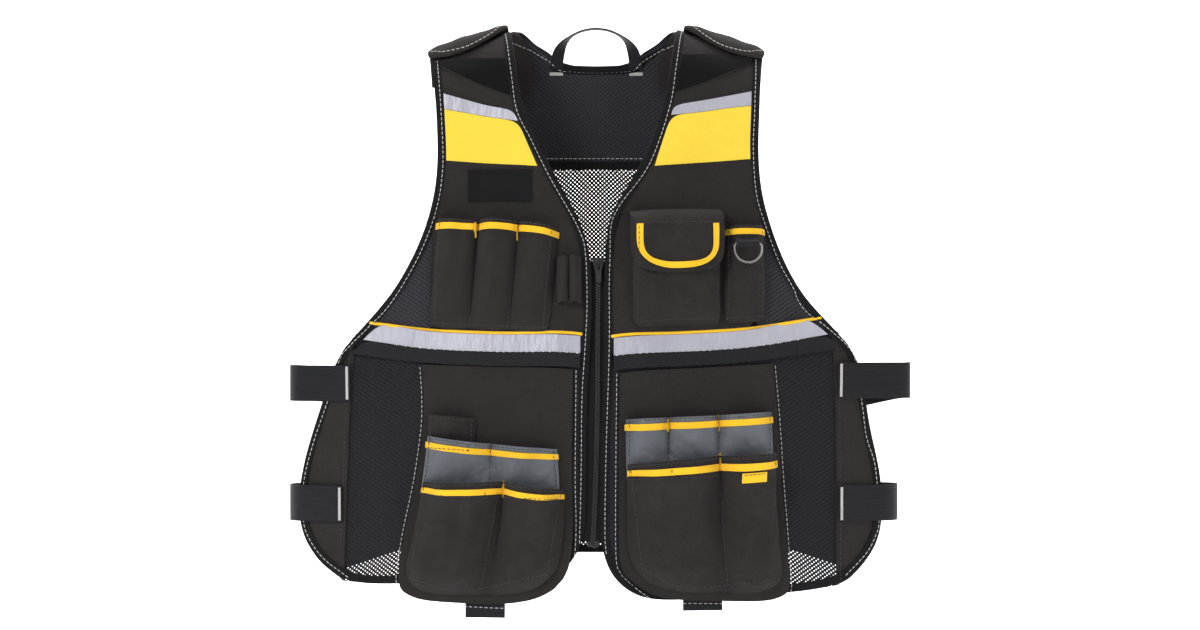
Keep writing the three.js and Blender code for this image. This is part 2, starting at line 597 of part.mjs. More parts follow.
function solidOf(geometry) {
  const bare = geometry.clone();
  bare.deleteAttribute('normal');
  bare.deleteAttribute('uv');
  const merged = mergeVertices(bare, 1e-4);
  return new wasm.Manifold(new wasm.Mesh({
    numProp: 3,
    vertProperties: new Float32Array(merged.attributes.position.array),
    triVerts: new Uint32Array(merged.index.array),
  }));
}

function geometryOf(solid) {
  const mesh = solid.getMesh();
  const geometry = new THREE.BufferGeometry();
  geometry.setAttribute('position', new THREE.BufferAttribute(new Float32Array(mesh.vertProperties), 3));
  geometry.setIndex(new THREE.BufferAttribute(new Uint32Array(mesh.triVerts), 1));
  return geometry;
}

const block = (width, depth, height, x, y, z) => new THREE.BoxGeometry(width, depth, height).translate(x, y, z);

// Extrudes an outline drawn in y (inward) and z (up) along x
function alongX(shape, width) {
  const geometry = new THREE.ExtrudeGeometry(shape, { depth: width, bevelEnabled: false, curveSegments: 6 });
  return geometry.applyMatrix4(new THREE.Matrix4().makeBasis(
    new THREE.Vector3(0, 1, 0), new THREE.Vector3(0, 0, 1), new THREE.Vector3(1, 0, 0))).translate(-width / 2, 0, 0);
}

// Slider: two plates around the chain, joined by a post above it, with a wire bridge for the pull
const chainTop = route(1, 1, zipLine).getPoint(0);
const sliderFrame = frameAt(chainTop.x, chainTop.y, chainMiddle);
const plateOffset = chainHalf + runningGap;
const bridgeHeight = bridgeWire + pullThickness + 2 * runningGap;
const sliderDrop = sliderLength / 2 - 3;
function slider() {
  const outlineShape = new THREE.Shape([[-0.32, -0.5], [0.32, -0.5], [0.42, -0.1], [0.5, 0.4], [0.3, 0.5], [-0.3, 0.5],
    [-0.5, 0.4], [-0.42, -0.1]].map(([x, z]) => new THREE.Vector2(x * sliderWidth, z * sliderLength)));
  const plate = (y) => new THREE.ExtrudeGeometry(outlineShape, { depth: sliderPlate, bevelEnabled: false })
    .rotateX(Math.PI / 2).translate(0, y, -sliderDrop);
  const front = plate(-plateOffset);
  const back = plate(plateOffset + sliderPlate);
  const postHeight = sliderLength / 2 - sliderDrop - runningGap;
  const post = block(3, 2 * plateOffset + sliderPlate, postHeight - 0.5, 0, 0, runningGap + postHeight / 2);
  const face = -plateOffset - sliderPlate;
  const arch = new THREE.Shape();
  arch.moveTo(face + 0.5, -sliderLength / 2 - sliderDrop + 1.5);
  arch.lineTo(face - bridgeHeight, -sliderLength / 2 - sliderDrop + 2.5);
  arch.lineTo(face - bridgeHeight, sliderLength / 2 - sliderDrop - 2.5);
  arch.lineTo(face + 0.5, sliderLength / 2 - sliderDrop - 1.5);
  const hole = new THREE.Path();
  const wire = bridgeWire;
  hole.moveTo(face, -sliderLength / 2 - sliderDrop + 1.5 + 1.4 * wire);
  hole.lineTo(face, sliderLength / 2 - sliderDrop - 1.5 - 1.4 * wire);
  hole.lineTo(face - bridgeHeight + wire, sliderLength / 2 - sliderDrop - 2.5 - 0.8 * wire);
  hole.lineTo(face - bridgeHeight + wire, -sliderLength / 2 - sliderDrop + 2.5 + 0.8 * wire);
  arch.holes.push(hole);
  let solid = solidOf(front).add(solidOf(back)).add(solidOf(post));
  solid = solid.add(solidOf(alongX(arch, bridgeWire)));
  return geometryOf(solid);
}
add('zip_slider', slider(), colours.trim, 0.4, 0.6, sliderFrame);

// Pull: a plate with an eye whose top bar lies under the bridge
const barDepth = -plateOffset - sliderPlate - runningGap - pullThickness / 2;
const barRise = 1.5 - sliderDrop;
function pull() {
  const shape = new THREE.Shape();
  const [half, low] = [pullWidth / 2, barRise + pullThickness / 2 - pullLength];
  const high = barRise + pullThickness / 2;
  shape.moveTo(-half * 0.9, high);
  shape.lineTo(-half * 0.7, low + half);
  shape.absarc(0, low + half, half * 0.7, Math.PI, 2 * Math.PI, false);
  shape.lineTo(half * 0.9, high);
  const eye = new THREE.Path();
  const bar = pullThickness;
  eye.moveTo(-half * 0.9 + 1.5, high - bar);
  eye.lineTo(half * 0.9 - 1.5, high - bar);
  eye.lineTo(half * 0.8 - 1.5, high - bar - sliderLength * 0.62);
  eye.lineTo(-half * 0.8 + 1.5, high - bar - sliderLength * 0.62);
  shape.holes.push(eye);
  return new THREE.ExtrudeGeometry(shape, { depth: pullThickness, bevelEnabled: false, curveSegments: 8 })
    .rotateX(Math.PI / 2).translate(0, barDepth + pullThickness / 2, 0);
}
add('zip_pull', pull(), colours.metal, 0.35, 0.9, sliderFrame);

// Chest, left front
const badge = fill(...[0.233, 0.287].map((down) => route(-1, 1, rows('across down', [0.427, down], [0.213, down]))),
  ...[0.427, 0.213].map((across) => route(-1, 1, rows('across down', [across, 0.233], [across, 0.287]))));
add('badge_patch', sheet(badge, steps(3), steps(2), trimLayer, trimLayer + tape), colours.trim);

const wrenchShape = { mouth: 1, floor: 0.75, square: 2, round: 0.85, belly: 5 };
addPocketRow('chest_pockets', {
  side: -1, depth: wrenchDepth, base: trimLayer, band: true,
  top: rows('across down', [0.522, 0.316], [0.400, 0.318], [0.263, 0.320], [0.130, 0.332]),
  bottom: rows('across down', [0.548, 0.494], [0.423, 0.497], [0.290, 0.500], [0.160, 0.502]),
  left: rows('across down', [0.522, 0.316], [0.548, 0.494]),
  right: rows('across down', [0.130, 0.332], [0.140, 0.400], [0.160, 0.502]),
  pockets: [{ from: 0, to: 0.343, ...wrenchShape }, { from: 0.343, to: 0.675, ...wrenchShape },
    { from: 0.675, to: 1, ...wrenchShape }],
}, roundShares, colours.cloth);

const penShape = { square: 2.4, round: 0.6 };
const penPockets = [{ from: 0, to: 0.49, ...penShape }, { from: 0.51, to: 1, ...penShape }];
const penLift = (u) => {
  const pocket = penPockets.find(({ to }) => u <= to + 1e-6) ?? penPockets[1];
  const t = THREE.MathUtils.clamp((u - pocket.from) / (pocket.to - pocket.from), 0, 1);
  return trimLayer + penDepth * Math.pow(Math.max(1 - Math.pow(Math.abs(2 * t - 1), penShape.square), 0), penShape.round);
};
const penStrip = fill(...[0.380, 0.456].map((down) => route(-1, 1, rows('across down', [0.124, down], [0.053, down]))),
  ...[0.124, 0.053].map((across) => route(-1, 1, rows('across down', [across, 0.380], [across, 0.456]))), penLift);
add('pen_loops', sheet(penStrip, pocketStations(penPockets, roundShares), steps(2), 0, webbing), colours.cloth);

// Chest, right front: a pouch under a flap, a narrow tool pocket and a ring in a webbing keeper
const pouchSides = rows('across down', [0.128, 0.325], [0.128, 0.495]);
const pouchFar = rows('across down', [0.405, 0.322], [0.405, 0.490]);
const pouchShape = { from: 0, to: 1, mouth: 1, floor: 0.9, square: 6, round: 0.6, belly: 10 };
addPocketRow('flap_pouch', {
  side: 1, depth: pouchDepth, base: trimLayer, pockets: [pouchShape],
  top: rows('across down', [0.128, 0.325], [0.405, 0.322]), bottom: rows('across down', [0.128, 0.495], [0.405, 0.490]),
  left: pouchSides, right: pouchFar,
}, [0, 0.05, 0.14, 0.32, 0.5, 0.68, 0.86, 0.95, 1], colours.cloth);

const flapLift = (u, v) => {
  const over = Math.min(v / 0.16, 1);
  const rise = pouchDepth + cloth + flapClearance;
  return trimLayer + rise * Math.pow(Math.sin(over * Math.PI / 2), 0.9);
};
const pouchFlap = fill(route(1, 1, rows('across down', [0.112, 0.306], [0.410, 0.302])),
  route(1, 1, rows('across down', [0.130, 0.402], [0.180, 0.409], [0.270, 0.411], [0.360, 0.405], [0.402, 0.396])),
  route(1, 1, rows('across down', [0.112, 0.306], [0.108, 0.370], [0.130, 0.402])),
  route(1, 1, rows('across down', [0.410, 0.302], [0.414, 0.370], [0.402, 0.396])), flapLift);
add('pouch_flap', sheet(pouchFlap, steps(6), [0, 0.05, 0.11, 0.18, 0.4, 0.75, 1], 0, cloth), colours.cloth);

const bandRoute = new THREE.SplineCurve([[0.10, 0.14], [0.10, 0.45], [0.12, 0.72], [0.24, 0.86], [0.5, 0.89],
  [0.76, 0.86], [0.88, 0.72], [0.90, 0.45], [0.90, 0.14]].map(([u, v]) => new THREE.Vector2(u, v)));
const flapWide = 0.298 * halfWidth;
const flapTall = 0.105 * fullHeight;
const flapBand = (u, v) => {
  const place = bandRoute.getPointAt(v);
  const ahead = bandRoute.getTangentAt(v);
  const turned = new THREE.Vector2(-ahead.y * flapTall, ahead.x * flapWide).normalize();
  const width = flapBandWidth * (u - 0.5);
  return pouchFlap(place.x + turned.x * width / flapWide, place.y + turned.y * width / flapTall);
};
const bandLow = cloth + layerGap;
add('pouch_flap_band', sheet(flapBand, [0, 1], steps(16, 0.06, 0.94), bandLow, bandLow + tape), colours.yellow);

const sidePocket = {
  side: 1, depth: sidePocketDepth, base: trimLayer, band: true,
  top: rows('across down', [0.428, 0.329], [0.552, 0.328]), bottom: rows('across down', [0.428, 0.488], [0.556, 0.484]),
  left: rows('across down', [0.428, 0.329], [0.428, 0.488]), right: rows('across down', [0.552, 0.328], [0.556, 0.484]),
  pockets: [{ from: 0, to: 1, mouth: 1, floor: 0.8, square: 4, round: 0.7, belly: 6 }],
};
addPocketRow('wrench_pocket', sidePocket, [0, 0.07, 0.2, 0.5, 0.8, 0.93, 1], colours.cloth);

// Ring and keeper on the narrow pocket, below its yellow band
const pocketSurface = pocketRow(sidePocket);
const ringSpot = pocketSurface(0.5, 0.205);
const eyeRadius = ringWire / 2 + runningGap;
const keeperRadius = eyeRadius + webbing;
const ringFrame = frameAt(ringSpot.x, ringSpot.path, ringSpot.lift + cloth + layerGap + keeperRadius);
function keeper() {
  const shape = new THREE.Shape();
  shape.absarc(0, 0, keeperRadius, 0, Math.PI / 2, true);
  shape.lineTo(keeperRadius - webbing, keeperRadius + keeperTab);
  shape.lineTo(keeperRadius, keeperRadius + keeperTab);
  const hole = new THREE.Path();
  hole.absarc(0, 0, eyeRadius, 0, 2 * Math.PI, false);
  shape.holes.push(hole);
  return alongX(shape, keeperWidth);
}
add('ring_keeper', keeper(), colours.webbing, 0.85, 0, ringFrame);

const ringSteps = 24;
function dRing() {
  const wire = ringWire / 2;
  const half = ringWidth / 2 - wire;
  const straight = keeperWidth / 2 + runningGap;
  const drop = ringHeight - ringWire;
  const round = half - straight;
  const curve = new THREE.Path();
  curve.moveTo(-straight, 0);
  curve.lineTo(straight, 0);
  curve.absarc(straight, -round, round, Math.PI / 2, 0, true);
  curve.lineTo(half, -drop * 0.3);
  curve.absellipse(0, -drop * 0.3, half, drop * 0.7, 0, -Math.PI, true);
  curve.lineTo(-half, -round);
  curve.absarc(-straight, -round, round, Math.PI, Math.PI / 2, true);
  const spine = curve.getSpacedPoints(ringSteps).slice(0, ringSteps);
  const sides = 6;
  const points = [];
  spine.forEach((here, i) => {
    const before = spine[(i + ringSteps - 1) % ringSteps];
    const after = spine[(i + 1) % ringSteps];
    const ahead = after.clone().sub(before).normalize();
    const aside = new THREE.Vector3(-ahead.y, 0, ahead.x);
    for (let k = 0; k < sides; k += 1) {
      const angle = 2 * Math.PI * k / sides;
      points.push(new THREE.Vector3(here.x, 0, here.y).addScaledVector(aside, wire * Math.cos(angle))
        .add(new THREE.Vector3(0, wire * Math.sin(angle), 0)));
    }
  });
  const index = [];
  for (let i = 0; i < ringSteps; i += 1) {
    for (let k = 0; k < sides; k += 1) {
      const [a, b] = [i * sides + k, i * sides + (k + 1) % sides];
      const next = ((i + 1) % ringSteps) * sides;
      const [c, d] = [next + (k + 1) % sides, next + k];
      index.push(a, b, c, a, c, d);
    }
  }
  return facingOut(points, index);
}
add('d_ring', dRing(), colours.metal, 0.3, 1, ringFrame);

// Hip panels that carry the lower pockets; their bottom lies over the hem and its binding
const panels = {
  left: {
    side: -1,
    top: rows('across down', [0.577, 0.558], [0.320, 0.562], [0.077, 0.566]),
    outer: rows('across down', [0.577, 0.558], [0.570, 0.617], [0.573, 0.667], [0.597, 0.750], [0.630, 0.833],
      [0.650, 0.900], [0.643, 0.930]),
    inner: rows('across down', [0.077, 0.566], [0.080, 0.745], [0.077, 0.833], [0.088, 0.894], [0.120, 0.918]),
    bottom: rows('across down', [0.643, 0.930], [0.613, 0.945], [0.553, 0.951], [0.427, 0.953], [0.300, 0.955],
      [0.217, 0.951], [0.150, 0.934], [0.120, 0.918]),
  },
  right: {
    side: 1,
    top: rows('across down', [0.587, 0.557], [0.320, 0.564], [0.080, 0.572]),
    outer: rows('across down', [0.587, 0.557], [0.610, 0.715], [0.623, 0.817], [0.638, 0.913], [0.632, 0.935]),
    inner: rows('across down', [0.080, 0.572], [0.077, 0.717], [0.077, 0.870], [0.090, 0.900], [0.113, 0.913]),
    bottom: rows('across down', [0.632, 0.935], [0.597, 0.949], [0.517, 0.951], [0.417, 0.949], [0.293, 0.948],
      [0.213, 0.948], [0.160, 0.932], [0.113, 0.913]),
  },
};
const panelStart = clothLayer;
const hemStart = 0.835;
const hemRun = 0.05;
const hemRise = trimLayer + tape + layerGap - panelStart;
const overHem = ({ x, y }) => hemRise * smooth((-torso(x, y).z / fullHeight - hemStart) / hemRun);
const panelLift = (u, v, place) => panelStart + overHem(place);
for (const [name, { side, top, outer, inner, bottom }] of Object.entries(panels)) {
  const surface = fill(route(side, 1, top), route(side, 1, bottom), route(side, 1, outer), route(side, 1, inner),
    panelLift);
  const [wide, tall] = [0.5 * halfWidth, 0.38 * fullHeight];
  const rim = (u, v) => (Math.min(u, 1 - u) * wide < panelBinding - 0.5 || (1 - v) * tall < panelBinding - 0.5
    ? cloth + tape : cloth);
  const [du, dv] = [panelBinding / wide, panelBinding / tall];
  add(`pocket_panel_${name}`, sheet(surface, [0, du, ...steps(4, 0.14, 0.86), 1 - du, 1],
    [...steps(5, 0, 0.68), 0.76, 0.84, 0.92, 1 - dv, 1], 0, rim), colours.cloth);
}

// Rows of pockets on the hip panels, from the panel outwards
const panelFace = panelStart + cloth + layerGap + rollGap;
const softShape = { mouth: 1, floor: 0.5, square: 2.5, round: 0.8, belly: 5 };
const bellowsShape = { mouth: 1, floor: 0.5, wall: 0.26, belly: 8 };
addPocketRow('small_pocket', {
  side: -1, depth: smallPocketDepth, base: panelFace,
  top: rows('across down', [0.548, 0.641], [0.400, 0.647]), bottom: rows('across down', [0.553, 0.700], [0.405, 0.703]),
  left: rows('across down', [0.548, 0.641], [0.553, 0.700]), right: rows('across down', [0.400, 0.647], [0.405, 0.703]),
  pockets: [{ from: 0, to: 1, ...softShape, floor: 0.3 }],
}, roundShares, colours.cloth, [0, 0.1, 0.25, 0.6, 0.88, 1]);

addPocketRow('middle_pockets', {
  side: -1, depth: middlePocketDepth, base: panelFace, cover: cloth + 2.5, band: true,
  top: rows('across down', [0.548, 0.677], [0.353, 0.688], [0.133, 0.697]),
  bottom: rows('across down', [0.580, 0.775], [0.353, 0.780], [0.120, 0.783]),
  left: rows('across down', [0.548, 0.677], [0.580, 0.775]), right: rows('across down', [0.133, 0.697], [0.120, 0.783]),
  pockets: [{ from: 0, to: 0.5, ...softShape, floor: 0.25 }, { from: 0.5, to: 1, ...softShape, floor: 0.25 }],
}, roundShares, colours.satin, [0, 0.09, 0.19, 0.45, 0.7, 0.9, 1]);

addPocketRow('lower_pockets_left', {
  side: -1, depth: bellowsDepth, base: panelFace, cover: cloth + 5, under: overHem, band: true,
  top: rows('across down', [0.566, 0.752], [0.447, 0.751], [0.303, 0.750], [0.203, 0.757], [0.107, 0.763]),
  bottom: rows('across down', [0.620, 0.915], [0.580, 0.932], [0.500, 0.936], [0.427, 0.937], [0.300, 0.936],
    [0.220, 0.930], [0.150, 0.908]),
  left: rows('across down', [0.566, 0.752], [0.600, 0.833], [0.622, 0.890], [0.620, 0.915]),
  right: rows('across down', [0.107, 0.763], [0.106, 0.833], [0.120, 0.885], [0.150, 0.908]),
  pockets: [{ from: 0, to: 0.58, ...bellowsShape }, { from: 0.58, to: 1, ...bellowsShape }],
}, squareShares, colours.cloth, [0, 0.055, 0.105, 0.3, 0.55, 0.78, 0.92, 1]);

addPocketRow('tool_pockets', {
  side: 1, depth: toolPocketDepth, base: panelFace, band: true,
  top: rows('across down', [0.104, 0.648], [0.233, 0.645], [0.403, 0.642], [0.574, 0.637]),
  bottom: rows('across down', [0.104, 0.752], [0.233, 0.750], [0.403, 0.745], [0.586, 0.740]),
  left: rows('across down', [0.104, 0.648], [0.104, 0.752]), right: rows('across down', [0.574, 0.637], [0.586, 0.740]),
  pockets: [{ from: 0, to: 0.276, ...softShape, floor: 0.2 }, { from: 0.276, to: 0.628, ...softShape, floor: 0.2 },
    { from: 0.628, to: 1, ...softShape, floor: 0.2 }],
}, roundShares, colours.satin, [0, 0.08, 0.18, 0.4, 0.65, 0.88, 1]);

const lowerRight = {
  side: 1, depth: bellowsDepth, base: panelFace, cover: cloth + 5, under: overHem, band: true,
  top: rows('across down', [0.104, 0.722], [0.403, 0.708], [0.588, 0.705]),
  bottom: rows('across down', [0.135, 0.898], [0.170, 0.915], [0.227, 0.928], [0.300, 0.932], [0.417, 0.934],
    [0.520, 0.934], [0.604, 0.920]),
  left: rows('across down', [0.104, 0.722], [0.104, 0.860], [0.135, 0.898]),
  right: rows('across down', [0.588, 0.705], [0.598, 0.817], [0.610, 0.900], [0.604, 0.920]),
  pockets: [{ from: 0, to: 0.62, ...bellowsShape }, { from: 0.62, to: 1, ...bellowsShape }],
};
const labelDown = [0.12, 0.19];
addPocketRow('lower_pockets_right', lowerRight, squareShares, colours.cloth,
  [0, 0.055, 0.105, ...labelDown, 0.4, 0.65, 0.85, 0.94, 1]);

// Bare yellow label on the outer pocket of the right hip, just under its band
const labelSurface = pocketRow(lowerRight);
const labelPocket = lowerRight.pockets[1];
const labelAcross = [squareShares[2], squareShares[4]].map((share) => lerp(labelPocket.from, labelPocket.to, share));
const label = (u, v) => labelSurface(lerp(...labelAcross, u), lerp(...labelDown, v));
add('pocket_label', sheet(label, [0, 0.5, 1], [0, 1], bandLow, bandLow + tape), colours.yellow);

// Webbing tabs below the hip panels
// The left one hangs behind the panel, the right one behind the hem
const tabs = rows('name side middle top low layer', ['left', -1, 0.366, 0.936, 0.977, panelStart + 0.2],
  ['right', 1, 0.355, 0.935, 0.966, -layerGap - 2 * webbing]);
for (const { name, side, middle, top, low, layer } of tabs) {
  const half = tabWidth / 2 / halfWidth;
  const edges = [[middle + half, top], [middle - half, top], [middle + half, low], [middle - half, low]];
  const [a, b, c, d] = edges.map(([across, down]) => ({ across, down }));
  const surface = fill(route(side, 1, [a, b]), route(side, 1, [c, d]), route(side, 1, [a, c]), route(side, 1, [b, d]));
  add(`bottom_tab_${name}`, sheet(surface, [0, 0.5, 1], [0, 0.8, 1], layer, layer + 2 * webbing), colours.webbing);
}

// Side straps: webbing sewn on the wing that folds round its edge and runs back to the back panel
function sideStrap({ side, inner, edge, tip, down, back, sag }) {
  const z = -down * fullHeight;
  const spot = (across, face, layer) => {
    const x = side * across * halfWidth;
    const path = face * pathTo(x, z);
    const place = torso(x, path).addScaledVector(outward(x, path), layer);
    return new THREE.Vector2(place.x, place.y);
  };
  const clear = clothLayer + cloth + tape + 3 * layerGap + webbing / 2;
  const onWing = steps(3).map((t) => spot(lerp(inner, edge, t), 1, clear + 1.2 * t * t));
  const backEnd = spot(back, -1, backLayer + meshCloth + layerGap + rollGap + webbing / 2);
  const foldX = side * tip * halfWidth;
  const frontY = onWing.at(-1).y;
  const middleY = (frontY + backEnd.y * 0.45) / 2;
  const fold = [new THREE.Vector2(foldX - side * 3, lerp(frontY, middleY, 0.3)), new THREE.Vector2(foldX, middleY),
    new THREE.Vector2(foldX - side * 4, lerp(middleY, backEnd.y * 0.5, 0.8))];
  const spine = new THREE.SplineCurve([...onWing, ...fold, spot(lerp(back, edge, 0.5), -1, backTrimLayer + tape + webbing + 1.5),
    backEnd]);
  const stations = steps(18);
  const faces = [[], []];
  for (const t of stations) {
    const place = spine.getPointAt(t);
    const ahead = spine.getTangentAt(t);
    const aside = new THREE.Vector2(-ahead.y, ahead.x).multiplyScalar(webbing / 2);
    const fall = sag * smooth((t - 0.45) / 0.3);
    for (const end of [0.5, -0.5]) {
      const height = z - fall + end * strapWidth;
      faces[0].push(new THREE.Vector3(place.x - aside.x, place.y - aside.y, height));
      faces[1].push(new THREE.Vector3(place.x + aside.x, place.y + aside.y, height));
    }
  }
  return gridSolid(faces[0], faces[1], 2, stations.length);
}
const straps = rows('name side inner edge tip down back sag', ['upper_left', -1, 0.820, 0.917, 1.033, 0.590, 0.66, 4],
  ['lower_left', -1, 0.845, 1.000, 1.036, 0.792, 0.66, 0], ['upper_right', 1, 0.807, 0.908, 1.060, 0.585, 0.66, 12],
  ['lower_right', 1, 0.807, 0.966, 1.020, 0.791, 0.66, 0]);
for (const strap of straps) add(`side_strap_${strap.name}`, sideStrap(strap), colours.webbing);

export default group;
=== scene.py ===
import json
import math

import bmesh
import bpy
import numpy as np
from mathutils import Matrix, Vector, noise
from mathutils.bvhtree import BVHTree


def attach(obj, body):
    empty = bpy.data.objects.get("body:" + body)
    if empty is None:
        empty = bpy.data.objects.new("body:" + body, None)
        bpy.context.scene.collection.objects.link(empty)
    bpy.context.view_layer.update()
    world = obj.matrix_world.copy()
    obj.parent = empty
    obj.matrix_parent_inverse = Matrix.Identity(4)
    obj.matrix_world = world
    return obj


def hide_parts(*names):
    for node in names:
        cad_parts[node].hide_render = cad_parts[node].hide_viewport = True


# Work vest of black coated cloth and mesh. Lengths are in metres, the front faces -Y and +Z is up.
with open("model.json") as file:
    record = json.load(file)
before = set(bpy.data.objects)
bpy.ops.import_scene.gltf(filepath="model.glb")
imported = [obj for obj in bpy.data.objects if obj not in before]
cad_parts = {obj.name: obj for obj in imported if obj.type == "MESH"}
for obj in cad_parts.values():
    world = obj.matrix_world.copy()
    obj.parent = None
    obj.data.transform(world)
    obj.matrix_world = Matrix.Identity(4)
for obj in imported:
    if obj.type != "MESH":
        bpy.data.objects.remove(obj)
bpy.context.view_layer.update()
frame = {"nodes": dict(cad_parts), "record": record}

# The torso that the vest lies on
HALF_WIDTH = 0.315
FULL_HEIGHT = 0.630
FRONT_DEPTH = 0.078
BACK_DEPTH = 0.056
ROLL = 0.042
DEPTH_RUN = 0.400
EDGE_DEPTH_SHARE = 0.2
SIDE_ROUND = 2.2
CREST = 0.017
SLOPE = 0.36
NECK_ROUND = 0.060
QUARTER = ROLL * math.pi / 2
LEAST_SIDE = 0.15

# Sewing
STITCH_PITCH = 0.0050
STITCH_LENGTH = 0.0032
THREAD = 0.00038
BARTACK_PITCH = 0.0006
BARTACK_LENGTH = 0.0028
LOOP_BARTACK_LENGTH = 0.0034
BARTACK_THREAD = 0.0003
BINDING_INSET = 0.0052
PANEL_INSET = 0.0035
SEAM_INSET = 0.004
MESH_INSET = 0.003
FLAP_INSET = 0.004

# How high over the torso a seam may lie: on the low layers, on a hip panel, or anywhere
LOW_LAYERS = 0.0062
PANEL_LAYERS = 0.016
ANY_LAYER = 1.0
CLOTH_MARGIN = 0.0003


def ease(t):
    t = np.clip(t, 0, 1)
    return t * t * (3 - 2 * t)


def shoulder_line(x):
    return CREST - SLOPE * (np.hypot(x, NECK_ROUND) - NECK_ROUND)


def lateral(x):
    return 1 - (1 - EDGE_DEPTH_SHARE) * (np.abs(x) / HALF_WIDTH) ** SIDE_ROUND


def torso(x, path):
    """Points of the torso: path runs along the cloth from the shoulder line, + in front and - behind."""
    x = np.asarray(x, float)
    path = np.asarray(path, float)
    length = np.abs(path)
    angle = np.minimum(length, QUARTER) / ROLL
    drop = np.where(length > QUARTER, ROLL + length - QUARTER, ROLL * (1 - np.cos(angle)))
    full = np.where(path >= 0, FRONT_DEPTH, BACK_DEPTH)
    deep = ROLL + (full - ROLL) * ease((drop - ROLL) / DEPTH_RUN)
    depth = np.where(length > QUARTER, deep, ROLL * np.sin(angle))
    y = np.where(path >= 0, -1, 1) * depth * lateral(x)
    return np.stack([x, y, shoulder_line(x) - drop], axis=-1)


def outward(x, path):
    step = 0.0005
    across = torso(x + step, path) - torso(x - step, path)
    down = torso(x, path + step) - torso(x, path - step)
    normal = np.cross(down, across)
    return normal / np.linalg.norm(normal, axis=-1, keepdims=True)


def path_to(x, z, face=1):
    drop = np.maximum(shoulder_line(x) - z, 0)
    roll = ROLL * np.arccos(np.clip(1 - drop / ROLL, -1, 1))
    return face * np.where(drop < ROLL, roll, QUARTER + drop - ROLL)


def on_cloth(points):
    """Where points lie on the torso, as x and path, and how far outside it they are."""
    x, y, z = points.T
    drop = shoulder_line(x) - z
    angle = np.arctan2(np.abs(y) / np.maximum(lateral(x), LEAST_SIDE), ROLL - drop)
    length = np.where(drop < ROLL, ROLL * angle, QUARTER + drop - ROLL)
    path = np.where(y <= 0, 1, -1) * length
    lift = ((points - torso(x, path)) * outward(x, path)).sum(axis=1)
    return x, path, lift


# Mesh in millimetres: its holes, and how far apart they are
HOLE = 0.90
MESH_ACROSS = 4.6
MESH_DOWN = 2.3
HOLE_RIM = (0.6, 1.5)

# Cloth: where the lining of the mesh ends, patches of wear and fluff, ridges of a twill, loops a metre
LINING_END = 0.532
LINING_SIDE = 0.170
WEAR_SIZE = 0.045
FLUFF_SIZE = 0.0012
FLUFF_SHARE = 0.3
TWILL_PITCH = 0.0011
RIB_SHARE = 0.65
PILE_LOOPS = 750.0

# Hard finishes
TARNISH_SIZE = 0.004
TARNISH_SHADE = 0.72
SCRATCH_SIZE = 0.0008
SCRATCH_DEPTH = 0.00006


def linear(code):
    """Linear colour of an sRGB hex code."""
    parts = [int(code[i:i + 2], 16) / 255 for i in (1, 3, 5)]
    return [c / 12.92 if c <= 0.04045 else ((c + 0.055) / 1.055) ** 2.4 for c in parts] + [1]


def put(tree, kind, inputs=None, **settings):
    """Adds a node with its settings and links."""
    made = tree.nodes.new(kind)
    for key, value in settings.items():
        setattr(made, key, value)
    for key, value in (inputs or {}).items():
        if isinstance(value, bpy.types.NodeSocket):
            tree.links.new(value, made.inputs[key])
        else:
            made.inputs[key].default_value = value
    return made


def sums(tree, operation, first, second=0.0):
    return put(tree, "ShaderNodeMath", {0: first, 1: second}, operation=operation).outputs[0]


def blank(name):
    material = bpy.data.materials.new(name)
    material.use_nodes = True
    material.node_tree.nodes.clear()
    return material, material.node_tree


def cloth_axes(tree):
    place = put(tree, "ShaderNodeUVMap", uv_map="cloth").outputs[0]
    axes = put(tree, "ShaderNodeSeparateXYZ", {0: place})
    return place, axes.outputs[0], axes.outputs[1]


def ridges(tree, along, pitch):
    """Rounded ridges, 0 to 1, one every pitch metres."""
    turn = sums(tree, "MULTIPLY", along, math.pi / pitch)
    return sums(tree, "ABSOLUTE", sums(tree, "SINE", turn))


def weave(tree, u, v, pitch):
    """Height of a plain weave: threads pass over and under each other in turn."""
    cell_u = sums(tree, "FLOOR", sums(tree, "DIVIDE", u, pitch))
    cell_v = sums(tree, "FLOOR", sums(tree, "DIVIDE", v, pitch))
    turn = sums(tree, "MULTIPLY", sums(tree, "ADD", cell_u, cell_v), 0.5)
    over = sums(tree, "MULTIPLY", sums(tree, "FRACT", turn), 2.0)
    mix = put(tree, "ShaderNodeMix", {0: over, 2: ridges(tree, u, pitch), 3: ridges(tree, v, pitch)})
    return mix.outputs[0]


def mottle(tree, place, size, detail=4.0, stretch=(1, 1, 1)):
    turned = put(tree, "ShaderNodeMapping", {"Vector": place, "Scale": stretch}).outputs[0]
    made = put(tree, "ShaderNodeTexNoise", {"Vector": turned, "Scale": 1 / size, "Detail": detail,
                                            "Roughness": 0.6})
    return made.outputs["Fac"]


